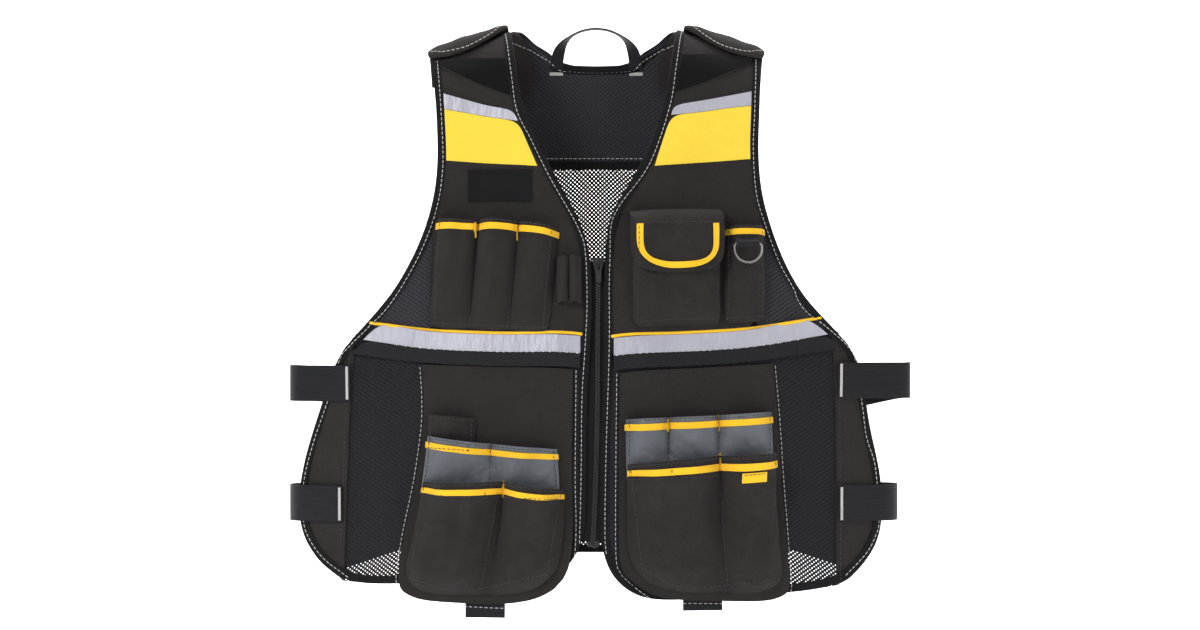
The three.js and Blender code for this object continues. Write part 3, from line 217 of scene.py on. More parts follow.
def fabric(name, colour, light, height, rough=0.85, sheen=0.08, fold=0.0012, fold_size=0.03, metal=0.0,
           height_size=0.0003, stretch=(1, 1, 1), hole=None, wear=0.35, gloss=0.16):
    """A cloth: height makes its fine relief, and folds, worn tone and fluff lie over it."""
    material, tree = blank(name)
    place, u, v = cloth_axes(tree)
    relief = height(tree, u, v)
    worn = mottle(tree, place, WEAR_SIZE)
    fluff = mottle(tree, place, FLUFF_SIZE, 2.0)
    tone = sums(tree, "ADD", sums(tree, "MULTIPLY", relief, 1 - wear), sums(tree, "MULTIPLY", worn, wear))
    tone = sums(tree, "ADD", sums(tree, "MULTIPLY", tone, 1 - FLUFF_SHARE),
                sums(tree, "MULTIPLY", fluff, FLUFF_SHARE))
    ramp = put(tree, "ShaderNodeMix", {"Factor": tone}, data_type="RGBA")
    ramp.inputs[6].default_value = linear(colour)
    ramp.inputs[7].default_value = linear(light)
    waves = mottle(tree, place, fold_size, 2.0, stretch)
    folds = put(tree, "ShaderNodeBump", {"Strength": 1.0, "Distance": fold, "Height": waves})
    bump = put(tree, "ShaderNodeBump", {"Strength": 0.8, "Distance": height_size, "Height": relief,
                                        "Normal": folds.outputs[0]})
    shade = put(tree, "ShaderNodeBsdfPrincipled", {"Base Color": ramp.outputs[2], "Roughness": rough,
                                                   "Metallic": metal, "Sheen Weight": sheen,
                                                   "Specular IOR Level": gloss,
                                                   "Sheen Roughness": 0.5, "Normal": bump.outputs[0]})
    surface = shade.outputs[0]
    if hole:
        clear = put(tree, "ShaderNodeBsdfTransparent")
        pierced = put(tree, "ShaderNodeMixShader", {0: hole(tree, u, v), 1: surface, 2: clear.outputs[0]})
        surface = pierced.outputs[0]
    put(tree, "ShaderNodeOutputMaterial", {"Surface": surface})
    return material


def lozenges(tree, u, v):
    """Distance in millimetres from the middle of a mesh hole; every second row is shifted by half."""
    row = sums(tree, "DIVIDE", v, MESH_DOWN / 1000)
    odd = sums(tree, "FRACT", sums(tree, "MULTIPLY", sums(tree, "FLOOR", row), 0.5))
    column = sums(tree, "ADD", sums(tree, "DIVIDE", u, MESH_ACROSS / 1000), odd)
    aside = sums(tree, "ABSOLUTE", sums(tree, "SUBTRACT", sums(tree, "FRACT", column), 0.5))
    above = sums(tree, "ABSOLUTE", sums(tree, "SUBTRACT", sums(tree, "FRACT", row), 0.5))
    return sums(tree, "ADD", sums(tree, "MULTIPLY", aside, MESH_ACROSS),
                sums(tree, "MULTIPLY", above, MESH_DOWN))


def knit_holes(tree, u, v):
    """1 inside the lozenge holes of a warp-knit mesh."""
    return sums(tree, "LESS_THAN", lozenges(tree, u, v), HOLE)


def low_holes(tree, u, v):
    """Holes that only open where the lining ends, low and out to the side."""
    open_here = sums(tree, "MULTIPLY", sums(tree, "GREATER_THAN", v, LINING_END),
                     sums(tree, "GREATER_THAN", sums(tree, "ABSOLUTE", u), LINING_SIDE))
    return sums(tree, "MULTIPLY", knit_holes(tree, u, v), open_here)


def ribbed(pitch, rib=0.0019):
    """Webbing: heavy ribs along its length with fine picks across them."""
    def height(tree, u, v):
        return sums(tree, "ADD", sums(tree, "MULTIPLY", ridges(tree, v, rib), RIB_SHARE),
                    sums(tree, "MULTIPLY", ridges(tree, u, pitch), 1 - RIB_SHARE))
    return height


def plain(pitch):
    """Plain weave of one pitch."""
    def height(tree, u, v):
        return weave(tree, u, v, pitch)
    return height


def twill(tree, u, v):
    """Fine diagonal ridges."""
    return ridges(tree, sums(tree, "ADD", u, v), TWILL_PITCH)


def pile(tree, u, v):
    """Loops of a hook-and-loop patch, as small cells."""
    place = put(tree, "ShaderNodeCombineXYZ", {0: u, 1: v}).outputs[0]
    cells = put(tree, "ShaderNodeTexVoronoi", {"Vector": place, "Scale": PILE_LOOPS})
    return sums(tree, "SUBTRACT", 1.0, cells.outputs["Distance"])


def knit(tree, u, v):
    """Yarn of the mesh, which stands up round each hole."""
    rim = {0: lozenges(tree, u, v), 1: HOLE_RIM[0], 2: HOLE_RIM[1]}
    return put(tree, "ShaderNodeMapRange", rim).outputs[0]


def hard(name, colour, rough, metal, scratch):
    """A hard finish in object coordinates with fine scratches and a little tarnish."""
    material, tree = blank(name)
    place = put(tree, "ShaderNodeTexCoord").outputs["Object"]
    tarnish = mottle(tree, place, TARNISH_SIZE, 5.0)
    marks = mottle(tree, place, SCRATCH_SIZE, 3.0, (1, 1, 6))
    ramp = put(tree, "ShaderNodeMix", {"Factor": tarnish}, data_type="RGBA")
    ramp.inputs[6].default_value = linear(colour)
    ramp.inputs[7].default_value = [TARNISH_SHADE * c for c in linear(colour)[:3]] + [1]
    roughness = put(tree, "ShaderNodeMapRange", {0: tarnish, 3: rough * 0.8, 4: rough * 1.4}).outputs[0]
    bump = put(tree, "ShaderNodeBump", {"Strength": scratch, "Distance": SCRATCH_DEPTH, "Height": marks})
    shade = put(tree, "ShaderNodeBsdfPrincipled", {"Base Color": ramp.outputs[2], "Roughness": roughness,
                                                   "Metallic": metal, "Normal": bump.outputs[0]})
    put(tree, "ShaderNodeOutputMaterial", {"Surface": shade.outputs[0]})
    return material


MATERIALS = {
    # 600 denier polyester oxford, coated behind: a visible basket of threads, matt and slightly dusty
    "body_cloth": fabric("oxford cloth", "#060505", "#363232", plain(0.0014), fold=0.0046, sheen=0.04,
                         height_size=0.0005),
    # Warp-knitted polyester mesh: the ground shows through its holes
    "air_mesh": fabric("knitted mesh", "#020203", "#0c0c0d", knit, hole=knit_holes, fold=0.0015,
                       sheen=0.0),
    # The same mesh laid double over a lining, so that nothing shows through
    "lined_mesh": fabric("lined mesh", "#010101", "#38383d", knit, fold=0.0012, wear=0.1,
                         height_size=0.0008, sheen=0.0),
    # Lined above, and open low and out to the side
    "part_lined_mesh": fabric("part lined mesh", "#010101", "#26262a", knit, hole=low_holes, fold=0.0018,
                              wear=0.1, height_size=0.0008, sheen=0.0),
    # Grosgrain binding: ribs across the tape
    "binding": fabric("grosgrain binding", "#060607", "#161618", ribbed(0.0009, 0.0014), fold=0.0005,
                      sheen=0.03),
    # Polypropylene webbing: heavy ribs, soft gloss on the yarn
    "webbing": fabric("webbing", "#020203", "#1f1f24", ribbed(0.0012), rough=0.6, height_size=0.0006,
                      fold=0.0008),
    # The same grosgrain in yellow, for the mouths of the pockets
    "yellow_trim": fabric("yellow grosgrain", "#dda315", "#f6c832", ribbed(0.0009, 0.0012), fold=0.0006,
                          wear=0.5),
    # Fluorescent yellow polyester, light weight and smooth
    "yellow_cloth": fabric("yellow cloth", "#e0ba2a", "#f6da4e", plain(0.0007), rough=0.7, fold=0.0022,
                           wear=0.6, height_size=0.0002),
    # Glass-bead tape: grey, half metallic, puckered by its seams
    "reflective": fabric("reflective tape", "#85858f", "#bcbbc5", plain(0.0014), rough=0.42, metal=0.35,
                         sheen=0.0, fold=0.0026, fold_size=0.015, stretch=(1.6, 0.5, 1),
                         height_size=0.00012, wear=0.6, gloss=0.5),
    # Satin-weave polyester: slate grey with a soft broad gloss
    "grey_satin": fabric("grey satin", "#3a3e44", "#646970", twill, rough=0.48, fold=0.0035,
                         fold_size=0.022, height_size=0.00015, wear=0.6, gloss=0.5),
    # Loop half of hook-and-loop: dense fuzzy pile that drinks the light
    "loop_pile": fabric("loop pile", "#010101", "#0c0c0d", pile, rough=1.0, sheen=0.12, fold=0.0006),
    # Steel wire, nickel plated
    "nickel": hard("nickel", "#b9b8b4", 0.28, 1.0, 0.4),
    # Moulded polyacetal teeth and enamelled slider
    "zip_plastic": hard("zip plastic", "#19191b", 0.42, 0.0, 0.2),
    # Spun polyester thread
    "white_thread": hard("white thread", "#c9c8c6", 0.8, 0.0, 0.6),
    "yellow_thread": hard("yellow thread", "#e6bb2c", 0.8, 0.0, 0.6),
    "dark_thread": hard("dark thread", "#3a3a3d", 0.8, 0.0, 0.6),
}

# Drape: one field moves every soft layer alike, so that the layers stay apart
HARDWARE = ((0.0025, -0.250), (0.159, -0.232))
HARDWARE_ROOM = 0.026
LONG_FOLD = 0.0032
SLANT_FOLD = 0.0026
STRAPS_FROM = 0.215
FOLD_RUN = 0.045
NECK_ROOM = 0.03
NECK_RUN = 0.08
ZIP_ROOM = 0.012
ZIP_RUN = 0.03

# Creases of the free bellies of the pockets
BELLY_LIFT = 0.007
BELLY_RUN = 0.020
FINE_CREASE = 0.0022
BROAD_CREASE = 0.0036
UPRIGHT_CREASE = 0.0052


def swells(across, along, width, length, seed):
    """Soft noise from -1 to 1, in swells of a width and a length."""
    return np.array([noise.noise(Vector((float(a), float(b), seed)))
                     for a, b in zip(across / width, along / length)])


def drape(x, path):
    """How far the cloth stands off the torso; nothing by the hardware, neck, zip and straps."""
    z = torso(x, path)[:, 2]
    long_folds = swells(x, path, 0.050, 0.16, 3.1)
    slant_folds = swells(x + 0.5 * path, path - 0.4 * x, 0.045, 0.13, 8.4)
    size = LONG_FOLD * long_folds + SLANT_FOLD * slant_folds
    clear = 1 - ease((np.abs(x) - STRAPS_FROM) / FOLD_RUN)
    for spot_x, spot_z in HARDWARE:
        away = np.hypot(x - spot_x, z - spot_z)
        clear = clear * np.where(path > 0, ease((away - HARDWARE_ROOM) / FOLD_RUN), 1)
    by_neck = ease((np.abs(path) - NECK_ROOM) / NECK_RUN)
    by_zip = ease((np.abs(x) - ZIP_ROOM) / ZIP_RUN)
    return size * clear * by_neck * by_zip


def crumple(x, path, lift):
    """Small folds in what stands free of the torso, such as the belly of a pocket."""
    free = ease((lift - BELLY_LIFT) / BELLY_RUN)
    fine = swells(x - 0.3 * path, path, 0.020, 0.013, 5.7)
    broad = swells(x, path + 0.4 * x, 0.030, 0.026, 1.9)
    upright = swells(x + 0.15 * path, path, 0.017, 0.075, 6.3)
    return free * (FINE_CREASE * fine + BROAD_CREASE * broad + UPRIGHT_CREASE * upright)


# Rounding of the CAD's coarse meshes: edges sharper than SHARP stay sharp
SHARP = math.radians(72)
WELD = 1e-6
JOIN_BEND = math.radians(60)
JOIN_SKEW = math.radians(80)
COARSE_FACES = 820


def levels_for(node):
    return 3 if len(node.data.polygons) < COARSE_FACES else 2


def rounded(node, levels):
    """A finer copy of a node's mesh: quads again, its rims kept sharp, then subdivided."""
    grid = bmesh.new()
    grid.from_mesh(node.data)
    grid.transform(node.matrix_world)
    bmesh.ops.remove_doubles(grid, verts=grid.verts, dist=WELD)
    bmesh.ops.join_triangles(grid, faces=grid.faces, angle_face_threshold=JOIN_BEND,
                             angle_shape_threshold=JOIN_SKEW)
    bmesh.ops.recalc_face_normals(grid, faces=grid.faces)
    crease = grid.edges.layers.float.new("crease_edge")
    for edge in grid.edges:
        if edge.calc_face_angle(math.pi) > SHARP:
            edge[crease] = 1.0
            edge.smooth = False
    for face in grid.faces:
        face.smooth = True
    mesh = bpy.data.meshes.new(node.name + "_cage")
    grid.to_mesh(mesh)
    grid.free()
    cage = bpy.data.objects.new(node.name + "_cage", mesh)
    bpy.context.collection.objects.link(cage)
    finer = cage.modifiers.new("finer", "SUBSURF")
    finer.levels = levels
    finer.render_levels = levels
    done = bpy.data.meshes.new_from_object(cage.evaluated_get(bpy.context.evaluated_depsgraph_get()))
    bpy.data.objects.remove(cage)
    return done


def spots(mesh):
    flat = np.empty(len(mesh.vertices) * 3)
    mesh.vertices.foreach_get("co", flat)
    return flat.reshape(-1, 3)


def set_spots(mesh, points):
    mesh.vertices.foreach_set("co", points.ravel())
    mesh.update()


def lay_uv(mesh, across, along):
    """Writes the piece's own cloth coordinates, in metres."""
    layer = mesh.uv_layers.new(name="cloth")
    corner = np.empty(len(mesh.loops), dtype=int)
    mesh.loops.foreach_get("vertex_index", corner)
    layer.data.foreach_set("uv", np.stack([across[corner], along[corner]], 1).ravel())


def piece(name, mesh, slot, body="vest", material=None):
    mesh.materials.clear()
    mesh.materials.append(MATERIALS[material or slot])
    made = bpy.data.objects.new(name, mesh)
    bpy.context.collection.objects.link(made)
    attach(made, body)
    return made


def surface_area(mesh):
    return sum(face.area for face in mesh.polygons)


# The soft pieces: which keep still, how they are held, which get another look, and how wide the tapes are
nodes = frame["nodes"]
slots = {part["node"]: part["material_slot"] for part in frame["record"]["subparts"]}
HARD_NODES = {"d_ring", "zip_pull", "zip_slider", "zip_chain"}
STILL = ("side_strap", "hang_loop", "ring_keeper", "bottom_tab")
LOOKS = {"back_yoke": "lined_mesh", "armhole_mesh": "lined_mesh", "lower_mesh": "part_lined_mesh"}
TAPE_WIDTHS = {"edge_binding": 0.008, "back_binding": 0.008, "chest_reflective": 0.012,
               "waist_reflective": 0.018, "waist_webbing": 0.0146, "zip_tape": 0.012, "side_strap": 0.038,
               "hang_loop": 0.014}
SEWN_FLAT = 0.010
SLACK = 1.03
flat_sizes = {}
built = {}


def value_for(name, table):
    """The value of the first key in a table that a name starts with."""
    return next((value for key, value in table.items() if name.startswith(key)), None)


def strap_axes(name, points):
    """Cloth coordinates of a side strap, unfolded at its outer end."""
    side = 1 if name.endswith("right") else -1
    x, y, z = points.T
    reach = np.abs(x).max()
    ahead = y < y[np.argmax(np.abs(x))]
    return y + np.where(ahead, side * x, 2 * reach - side * x), z


def declare(name, made, across, along):
    """Notes the flat size of a piece as a sheet; narrow ribbons and the shoulder flaps are left out."""
    tape = value_for(name, TAPE_WIDTHS)
    if name == "ring_keeper" or name.endswith("_band") or tape and tape < SEWN_FLAT:
        return
    if name.startswith("shoulder_flap"):
        return
    area = surface_area(made.data) / 2
    wide, tall = np.ptp(across), np.ptp(along)
    if tape:
        tall = tape
        wide = area / tall
    wide = max(wide, SLACK * area / tall)
    flat_sizes[name] = [round(float(wide) * 1000), round(float(tall) * 1000)]


for name, node in nodes.items():
    if name in HARD_NODES:
        continue
    slot = slots[name]
    mesh = rounded(node, levels_for(node))
    points = spots(mesh)
    x, path, lift = on_cloth(points)
    across, along = x.copy(), path.copy()
    if not name.startswith(STILL):
        push = drape(x, path) + crumple(x, path, lift)
        set_spots(mesh, points + outward(x, path) * push[:, None])
    if name.startswith("side_strap"):
        across, along = strap_axes(name, points)
    lay_uv(mesh, across, along)
    made = piece(name + "_cloth", mesh, slot, material=value_for(name, LOOKS) or slot)
    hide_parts(name)
    built[name] = made
    declare(name, made, across, along)

# Seats for thread and trim: the first cloth met from outside, or from inside
SEEK_OUTSIDE = 0.070
SEEK_INSIDE = 0.020
SEEK_LENGTH = 0.09
SEAM_STEP = 0.004
TACK_STEP = 0.002
JUMP = 3
bpy.context.view_layer.update()
walls = bmesh.new()
for made in built.values():
    walls.from_mesh(made.data)
tree_of_walls = BVHTree.FromBMesh(walls)
walls.free()


def seat(x, path, inside=False):
    """The place and the normal of the visible cloth at x and path."""
    normal = outward(np.array([x]), np.array([path]))[0]
    base = torso(np.array([x]), np.array([path]))[0]
    way = Vector(normal) * (1 if inside else -1)
    start = Vector(base) - way * (SEEK_INSIDE if inside else SEEK_OUTSIDE)
    spot = tree_of_walls.ray_cast(start, way, SEEK_LENGTH)[0]
    if spot is None:
        return None
    return spot - way * CLOTH_MARGIN, -way


def curve_through(table, count=8):
    """A smooth line through a table of places."""
    rows = np.array(table, float)
    longer = np.vstack([2 * rows[0] - rows[1], rows, 2 * rows[-1] - rows[-2]])
    line = []
    for i in range(1, len(longer) - 2):
        a, b, c, d = longer[i - 1:i + 3]
        for t in np.linspace(0, 1, count, endpoint=False):
            line.append(0.5 * (2 * b + (c - a) * t + (2 * a - 5 * b + 4 * c - d) * t ** 2
                               + (3 * b - a - 3 * c + d) * t ** 3))
    line.append(rows[-1])
    return np.array(line)


def front_line(side, table, inset=0.0, face=1):
    """Places (x, path) along a table of across and down shares, moved sideways by inset."""
    rows = np.array(table, float)
    x = side * rows[:, 0] * HALF_WIDTH
    line = curve_through(np.stack([x, path_to(x, -rows[:, 1] * FULL_HEIGHT, face)], 1))
    ahead = np.gradient(line, axis=0)
    ahead /= np.linalg.norm(ahead, axis=1, keepdims=True)
    return line + np.stack([-ahead[:, 1], ahead[:, 0]], 1) * inset


def resample(line, step):
    """Even places along a line, a step apart."""
    gaps = np.linalg.norm(np.diff(line, axis=0), axis=1)
    length = np.concatenate([[0], np.cumsum(gaps)])
    count = max(int(length[-1] / step), 2)
    at = np.linspace(0, length[-1], count)
    return np.stack([np.interp(at, length, line[:, k]) for k in range(line.shape[1])], 1)


def place_at(line, share):
    """The place at a share of a line's length, to the millimetre."""
    even = resample(line, 0.001)
    return even[int(share * (len(even) - 1))]


def seated(line, inside=False, step=SEAM_STEP, highest=ANY_LAYER):
    """Runs of (place, normal) where a line meets cloth, broken at steps and where it is too high."""
    runs, run = [], []
    for x, path in resample(line, step):
        found = seat(x, path, inside)
        if found:
            slack = drape(np.array([x]), np.array([path]))[0]
            if (found[0] - Vector(torso(x, path))).length - slack > highest:
                found = None
        if found is None or run and (found[0] - run[-1][0]).length > JUMP * step:
            if len(run) > 1:
                runs.append(run)
            run = []
        if found is not None:
            run.append(found)
    if len(run) > 1:
        runs.append(run)
    return runs


def socket(tree, name, kind, value=None, out=False):
    made = tree.interface.new_socket(name, in_out="OUTPUT" if out else "INPUT", socket_type=kind)
    if value is not None:
        made.default_value = value
    return made


def laid_shape():
    """A Geometry Nodes tree that lays small bars along lines, turned by the attribute lie."""
    tree = bpy.data.node_groups.new("shapes along lines", "GeometryNodeTree")
    socket(tree, "Lines", "NodeSocketGeometry")
    names = {}
    for name, value in (("Pitch", STITCH_PITCH), ("Length", STITCH_LENGTH), ("Radius", THREAD),
                        ("Turn", 0.0), ("Sides", 6), ("Aside", 0.0), ("Flat", 1.0)):
        kind = "NodeSocketInt" if name == "Sides" else "NodeSocketFloat"
        names[name] = socket(tree, name, kind, value).identifier
    names["Finish"] = socket(tree, "Finish", "NodeSocketMaterial").identifier
    socket(tree, "Shapes", "NodeSocketGeometry", out=True)
    given = put(tree, "NodeGroupInput").outputs
    lines = put(tree, "GeometryNodeMeshToCurve", {"Mesh": given["Lines"]}).outputs[0]
    even = put(tree, "GeometryNodeResampleCurve", {"Curve": lines, "Length": given["Pitch"]},
               mode="LENGTH").outputs[0]
    bar = put(tree, "GeometryNodeMeshCylinder", {"Vertices": given["Sides"], "Radius": given["Radius"],
                                                 "Depth": given["Length"]}).outputs[0]
    squash = put(tree, "ShaderNodeCombineXYZ", {0: given["Flat"], 1: 1.0, 2: 1.0}).outputs[0]
    shift = put(tree, "ShaderNodeCombineXYZ", {0: 0.0, 1: given["Aside"], 2: 0.0}).outputs[0]
    lying = put(tree, "GeometryNodeTransform", {"Geometry": bar, "Rotation": (0, math.pi / 2, 0),
                                                "Scale": squash}).outputs[0]
    moved = put(tree, "GeometryNodeTransform", {"Geometry": lying, "Translation": shift}).outputs[0]
    lie = put(tree, "GeometryNodeInputNamedAttribute", {"Name": "lie"},
              data_type="FLOAT_VECTOR").outputs[0]
    stand = put(tree, "FunctionNodeAlignRotationToVector", {"Vector": lie}, axis="Z").outputs[0]
    tangent = put(tree, "GeometryNodeInputTangent").outputs[0]
    along = put(tree, "FunctionNodeAlignRotationToVector", {"Rotation": stand, "Vector": tangent},
                axis="X", pivot_axis="Z").outputs[0]
    turned = put(tree, "ShaderNodeCombineXYZ", {2: given["Turn"]}).outputs[0]
    spin = put(tree, "FunctionNodeEulerToRotation", {0: turned}).outputs[0]
    final = put(tree, "FunctionNodeRotateRotation", {"Rotation": along, "Rotate By": spin},
                rotation_space="LOCAL").outputs[0]
    placed = put(tree, "GeometryNodeInstanceOnPoints", {"Points": even, "Instance": moved,
                                                        "Rotation": final})
    real = put(tree, "GeometryNodeRealizeInstances", {0: placed.outputs[0]}).outputs[0]
    named = put(tree, "GeometryNodeSetMaterial", {"Geometry": real,
                                                  "Material": given["Finish"]}).outputs[0]
    put(tree, "NodeGroupOutput", {0: named})
    return tree, names


SHAPES, SOCKETS = laid_shape()


def sewn(runs, finish, **values):
    """Mesh of a shape repeated along runs of (place, normal)."""
    places = [place for run in runs for place, _ in run]
    edges, start = [], 0
    for run in runs:
        edges += [(start + k, start + k + 1) for k in range(len(run) - 1)]
        start += len(run)
    mesh = bpy.data.meshes.new("lines")
    mesh.from_pydata(places, edges, [])
    lie = mesh.attributes.new("lie", "FLOAT_VECTOR", "POINT")
    lie.data.foreach_set("vector", [c for run in runs for _, normal in run for c in normal])
    guide = bpy.data.objects.new("lines", mesh)
    bpy.context.collection.objects.link(guide)
    laid = guide.modifiers.new("laid", "NODES")
    laid.node_group = SHAPES
    for key, value in values.items():
        laid[SOCKETS[key]] = value
    laid[SOCKETS["Finish"]] = MATERIALS[finish]
    done = bpy.data.meshes.new_from_object(guide.evaluated_get(bpy.context.evaluated_depsgraph_get()))
    bpy.data.objects.remove(guide)
    return done


def stitch(name, runs, finish="white_thread", **values):
    """A piece of thread along runs, which rides with the vest and has no slot."""
    if runs:
        piece(name, sewn(runs, finish, **values), None, material=finish)


def tube(runs, radius, sides=8):
    """Closed round bars along runs of (place, normal)."""
    points, faces = [], []
    for run in runs:
        start = len(points)
        line = np.array([place for place, _ in run])
        ahead = np.gradient(line, axis=0)
        for (place, normal), way in zip(run, ahead):
            aside = Vector(way).cross(normal).normalized()
            for k in range(sides):
                turn = 2 * math.pi * k / sides
                points.append(place + (aside * math.cos(turn) + normal * math.sin(turn)) * radius)
        for i in range(len(run) - 1):
            for k in range(sides):
                a, b = start + i * sides + k, start + i * sides + (k + 1) % sides
                faces.append((a, b, b + sides, a + sides))
        faces.append([start + k for k in range(sides)][::-1])
        faces.append([start + (len(run) - 1) * sides + k for k in range(sides)])
    mesh = bpy.data.meshes.new("tube")
    mesh.from_pydata(points, [], faces)
    grid = bmesh.new()
    grid.from_mesh(mesh)
    bmesh.ops.recalc_face_normals(grid, faces=grid.faces)
    for face in grid.faces:
        face.smooth = len(face.verts) == 4
    grid.to_mesh(mesh)
    grid.free()
    x, path, _ = on_cloth(spots(mesh))
    lay_uv(mesh, x, path)
    return mesh


# Edges of the two fronts, each row a place: across and down, as shares of the half width and the height
EDGES = {
    -1: {
        "neckline": [(0.287, 0.003), (0.265, 0.075), (0.247, 0.130), (0.200, 0.178), (0.153, 0.227),
                     (0.115, 0.262), (0.043, 0.328), (0.019, 0.370), (0.013, 0.457), (0.020, 0.533),
                     (0.030, 0.617), (0.033, 0.750), (0.038, 0.850)],
        "armhole": [(0.553, 0.028), (0.537, 0.117), (0.527, 0.200), (0.530, 0.250), (0.547, 0.300),
                    (0.587, 0.358), (0.637, 0.408), (0.703, 0.458), (0.770, 0.492), (0.837, 0.525),
                    (0.870, 0.547), (0.913, 0.620), (0.960, 0.688), (0.995, 0.757), (0.997, 0.823),
                    (0.975, 0.858), (0.923, 0.892), (0.843, 0.921)],
        "waist": [(0.045, 0.539), (0.287, 0.537), (0.553, 0.532), (0.790, 0.518)],
        "waist_end": [(0.690, 0.5252), (0.812, 0.5165)],
        "mesh_end": [(0.485, 0.494), (0.550, 0.494)],
        "seam": [(0.806, 0.530), (0.820, 0.600), (0.843, 0.910)],
        "mesh_seam": [(0.543, 0.305), (0.554, 0.480)],
        "panel": [(0.577, 0.562), (0.570, 0.617), (0.573, 0.667), (0.597, 0.750), (0.630, 0.833),
                  (0.650, 0.900), (0.643, 0.930), (0.613, 0.945), (0.553, 0.951), (0.427, 0.953),
                  (0.300, 0.955), (0.217, 0.951), (0.150, 0.934), (0.120, 0.918), (0.088, 0.894),
                  (0.077, 0.833), (0.080, 0.745), (0.077, 0.570)],
    },
    1: {
        "neckline": [(0.273, -0.003), (0.250, 0.060), (0.227, 0.127), (0.160, 0.221), (0.062, 0.290),
                     (0.033, 0.328), (0.030, 0.375), (0.027, 0.433), (0.027, 0.533), (0.017, 0.700),
                     (0.013, 0.833), (0.017, 0.868)],
        "armhole": [(0.553, 0.022), (0.547, 0.133), (0.542, 0.200), (0.551, 0.270), (0.575, 0.317),
                    (0.621, 0.382), (0.668, 0.425), (0.707, 0.460), (0.787, 0.494), (0.849, 0.522),
                    (0.883, 0.552), (0.907, 0.633), (0.920, 0.682), (0.950, 0.732), (0.963, 0.823),
                    (0.950, 0.852), (0.917, 0.882), (0.849, 0.917)],
        "waist": [(0.050, 0.543), (0.250, 0.537), (0.500, 0.530), (0.775, 0.510)],
        "waist_end": [(0.680, 0.5173), (0.800, 0.5080)],
        "mesh_end": [(0.500, 0.489), (0.565, 0.489)],
        "seam": [(0.790, 0.522), (0.800, 0.600), (0.803, 0.915)],
        "mesh_seam": [(0.558, 0.305), (0.562, 0.475)],
        "panel": [(0.587, 0.561), (0.610, 0.715), (0.623, 0.817), (0.638, 0.913), (0.632, 0.935),
                  (0.597, 0.949), (0.517, 0.951), (0.417, 0.949), (0.293, 0.948), (0.213, 0.948),
                  (0.160, 0.932), (0.113, 0.913), (0.090, 0.900), (0.077, 0.870), (0.077, 0.717),
                  (0.080, 0.576)],
    },
}

# Sewn lines of the pockets: mouth and foot as (across, down) rows, and the shares where upright seams run
POCKETS = [
    (-1, [(0.515, 0.319), (0.400, 0.321), (0.263, 0.323), (0.137, 0.335)],
     [(0.540, 0.489), (0.423, 0.492), (0.290, 0.495), (0.168, 0.497)], (0.01, 0.343, 0.675, 0.99)),
    (1, [(0.136, 0.330), (0.397, 0.327)], [(0.136, 0.489), (0.397, 0.484)], (0.0, 1.0)),
    (1, [(0.434, 0.333), (0.546, 0.332)], [(0.434, 0.482), (0.550, 0.478)], (0.0, 1.0)),
    (-1, [(0.542, 0.645), (0.406, 0.651)], [(0.547, 0.696), (0.411, 0.699)], (0.0, 1.0)),
    (-1, [(0.542, 0.681), (0.353, 0.692), (0.139, 0.701)],
     [(0.572, 0.770), (0.353, 0.775), (0.128, 0.778)], (0.0, 0.5, 1.0)),
    (-1, [(0.560, 0.756), (0.303, 0.754), (0.113, 0.767)],
     [(0.605, 0.912), (0.427, 0.931), (0.160, 0.903)], (0.0, 0.55, 1.0)),
    (1, [(0.110, 0.652), (0.403, 0.646), (0.568, 0.641)],
     [(0.110, 0.747), (0.403, 0.740), (0.578, 0.735)], (0.0, 0.276, 0.628, 1.0)),
    (1, [(0.112, 0.726), (0.403, 0.712), (0.580, 0.709)],
     [(0.150, 0.893), (0.300, 0.926), (0.596, 0.912)], (0.0, 0.62, 1.0)),
]

# Front edge of the shoulder flap: the share across it, and the share of the roll over the shoulder
FLAP_FRONT = [(0.04, 0.14), (0.2, 0.33), (0.5, 0.48), (0.8, 0.44), (0.96, 0.31)]
FLAP_INNER = 0.290
FLAP_OUTER = 0.552
white, dark = [], []
for side, edge in EDGES.items():
    white += seated(front_line(side, edge["neckline"], -side * BINDING_INSET), highest=LOW_LAYERS)
    white += seated(front_line(side, edge["armhole"], side * BINDING_INSET), highest=LOW_LAYERS)
    white += seated(front_line(side, edge["panel"], -side * PANEL_INSET), highest=PANEL_LAYERS)
    dark += seated(front_line(side, edge["seam"], -side * SEAM_INSET), highest=LOW_LAYERS)
    front_edge = [(side * (FLAP_INNER + (FLAP_OUTER - FLAP_INNER) * u) * HALF_WIDTH,
                   QUARTER * turn - FLAP_INSET) for u, turn in FLAP_FRONT]
    white += seated(curve_through(front_edge))
    dark += seated(front_line(side, edge["mesh_seam"], side * MESH_INSET), highest=LOW_LAYERS)
for side, mouth, foot, seams in POCKETS:
    top, low = front_line(side, mouth), front_line(side, foot)
    dark += seated(top)
    dark += seated(low)
    for share in seams:
        dark += seated(np.array([place_at(top, share), place_at(low, share)]))

# Back: two rows over the join of yoke and mesh, seen from both faces, and one inside the neck
YOKE_SEAM = [(-0.520, 0.228), (0.0, 0.228), (0.520, 0.228)]
YOKE_UPPER = [(-0.520, 0.206), (0.0, 0.206), (0.520, 0.206)]
NECK = [(-0.285, 0.012), (-0.210, 0.027), (-0.160, 0.040), (-0.117, 0.055), (0, 0.058), (0.117, 0.055),
        (0.160, 0.040), (0.210, 0.027), (0.285, 0.012)]
for table in (YOKE_SEAM, YOKE_UPPER):
    white += seated(front_line(1, table, face=-1), inside=True)
    white += seated(front_line(1, table, face=-1))
white += seated(front_line(1, NECK, face=-1), inside=True)
stitch("edge_stitches", white)
stitch("pocket_stitches", dark, "dark_thread")

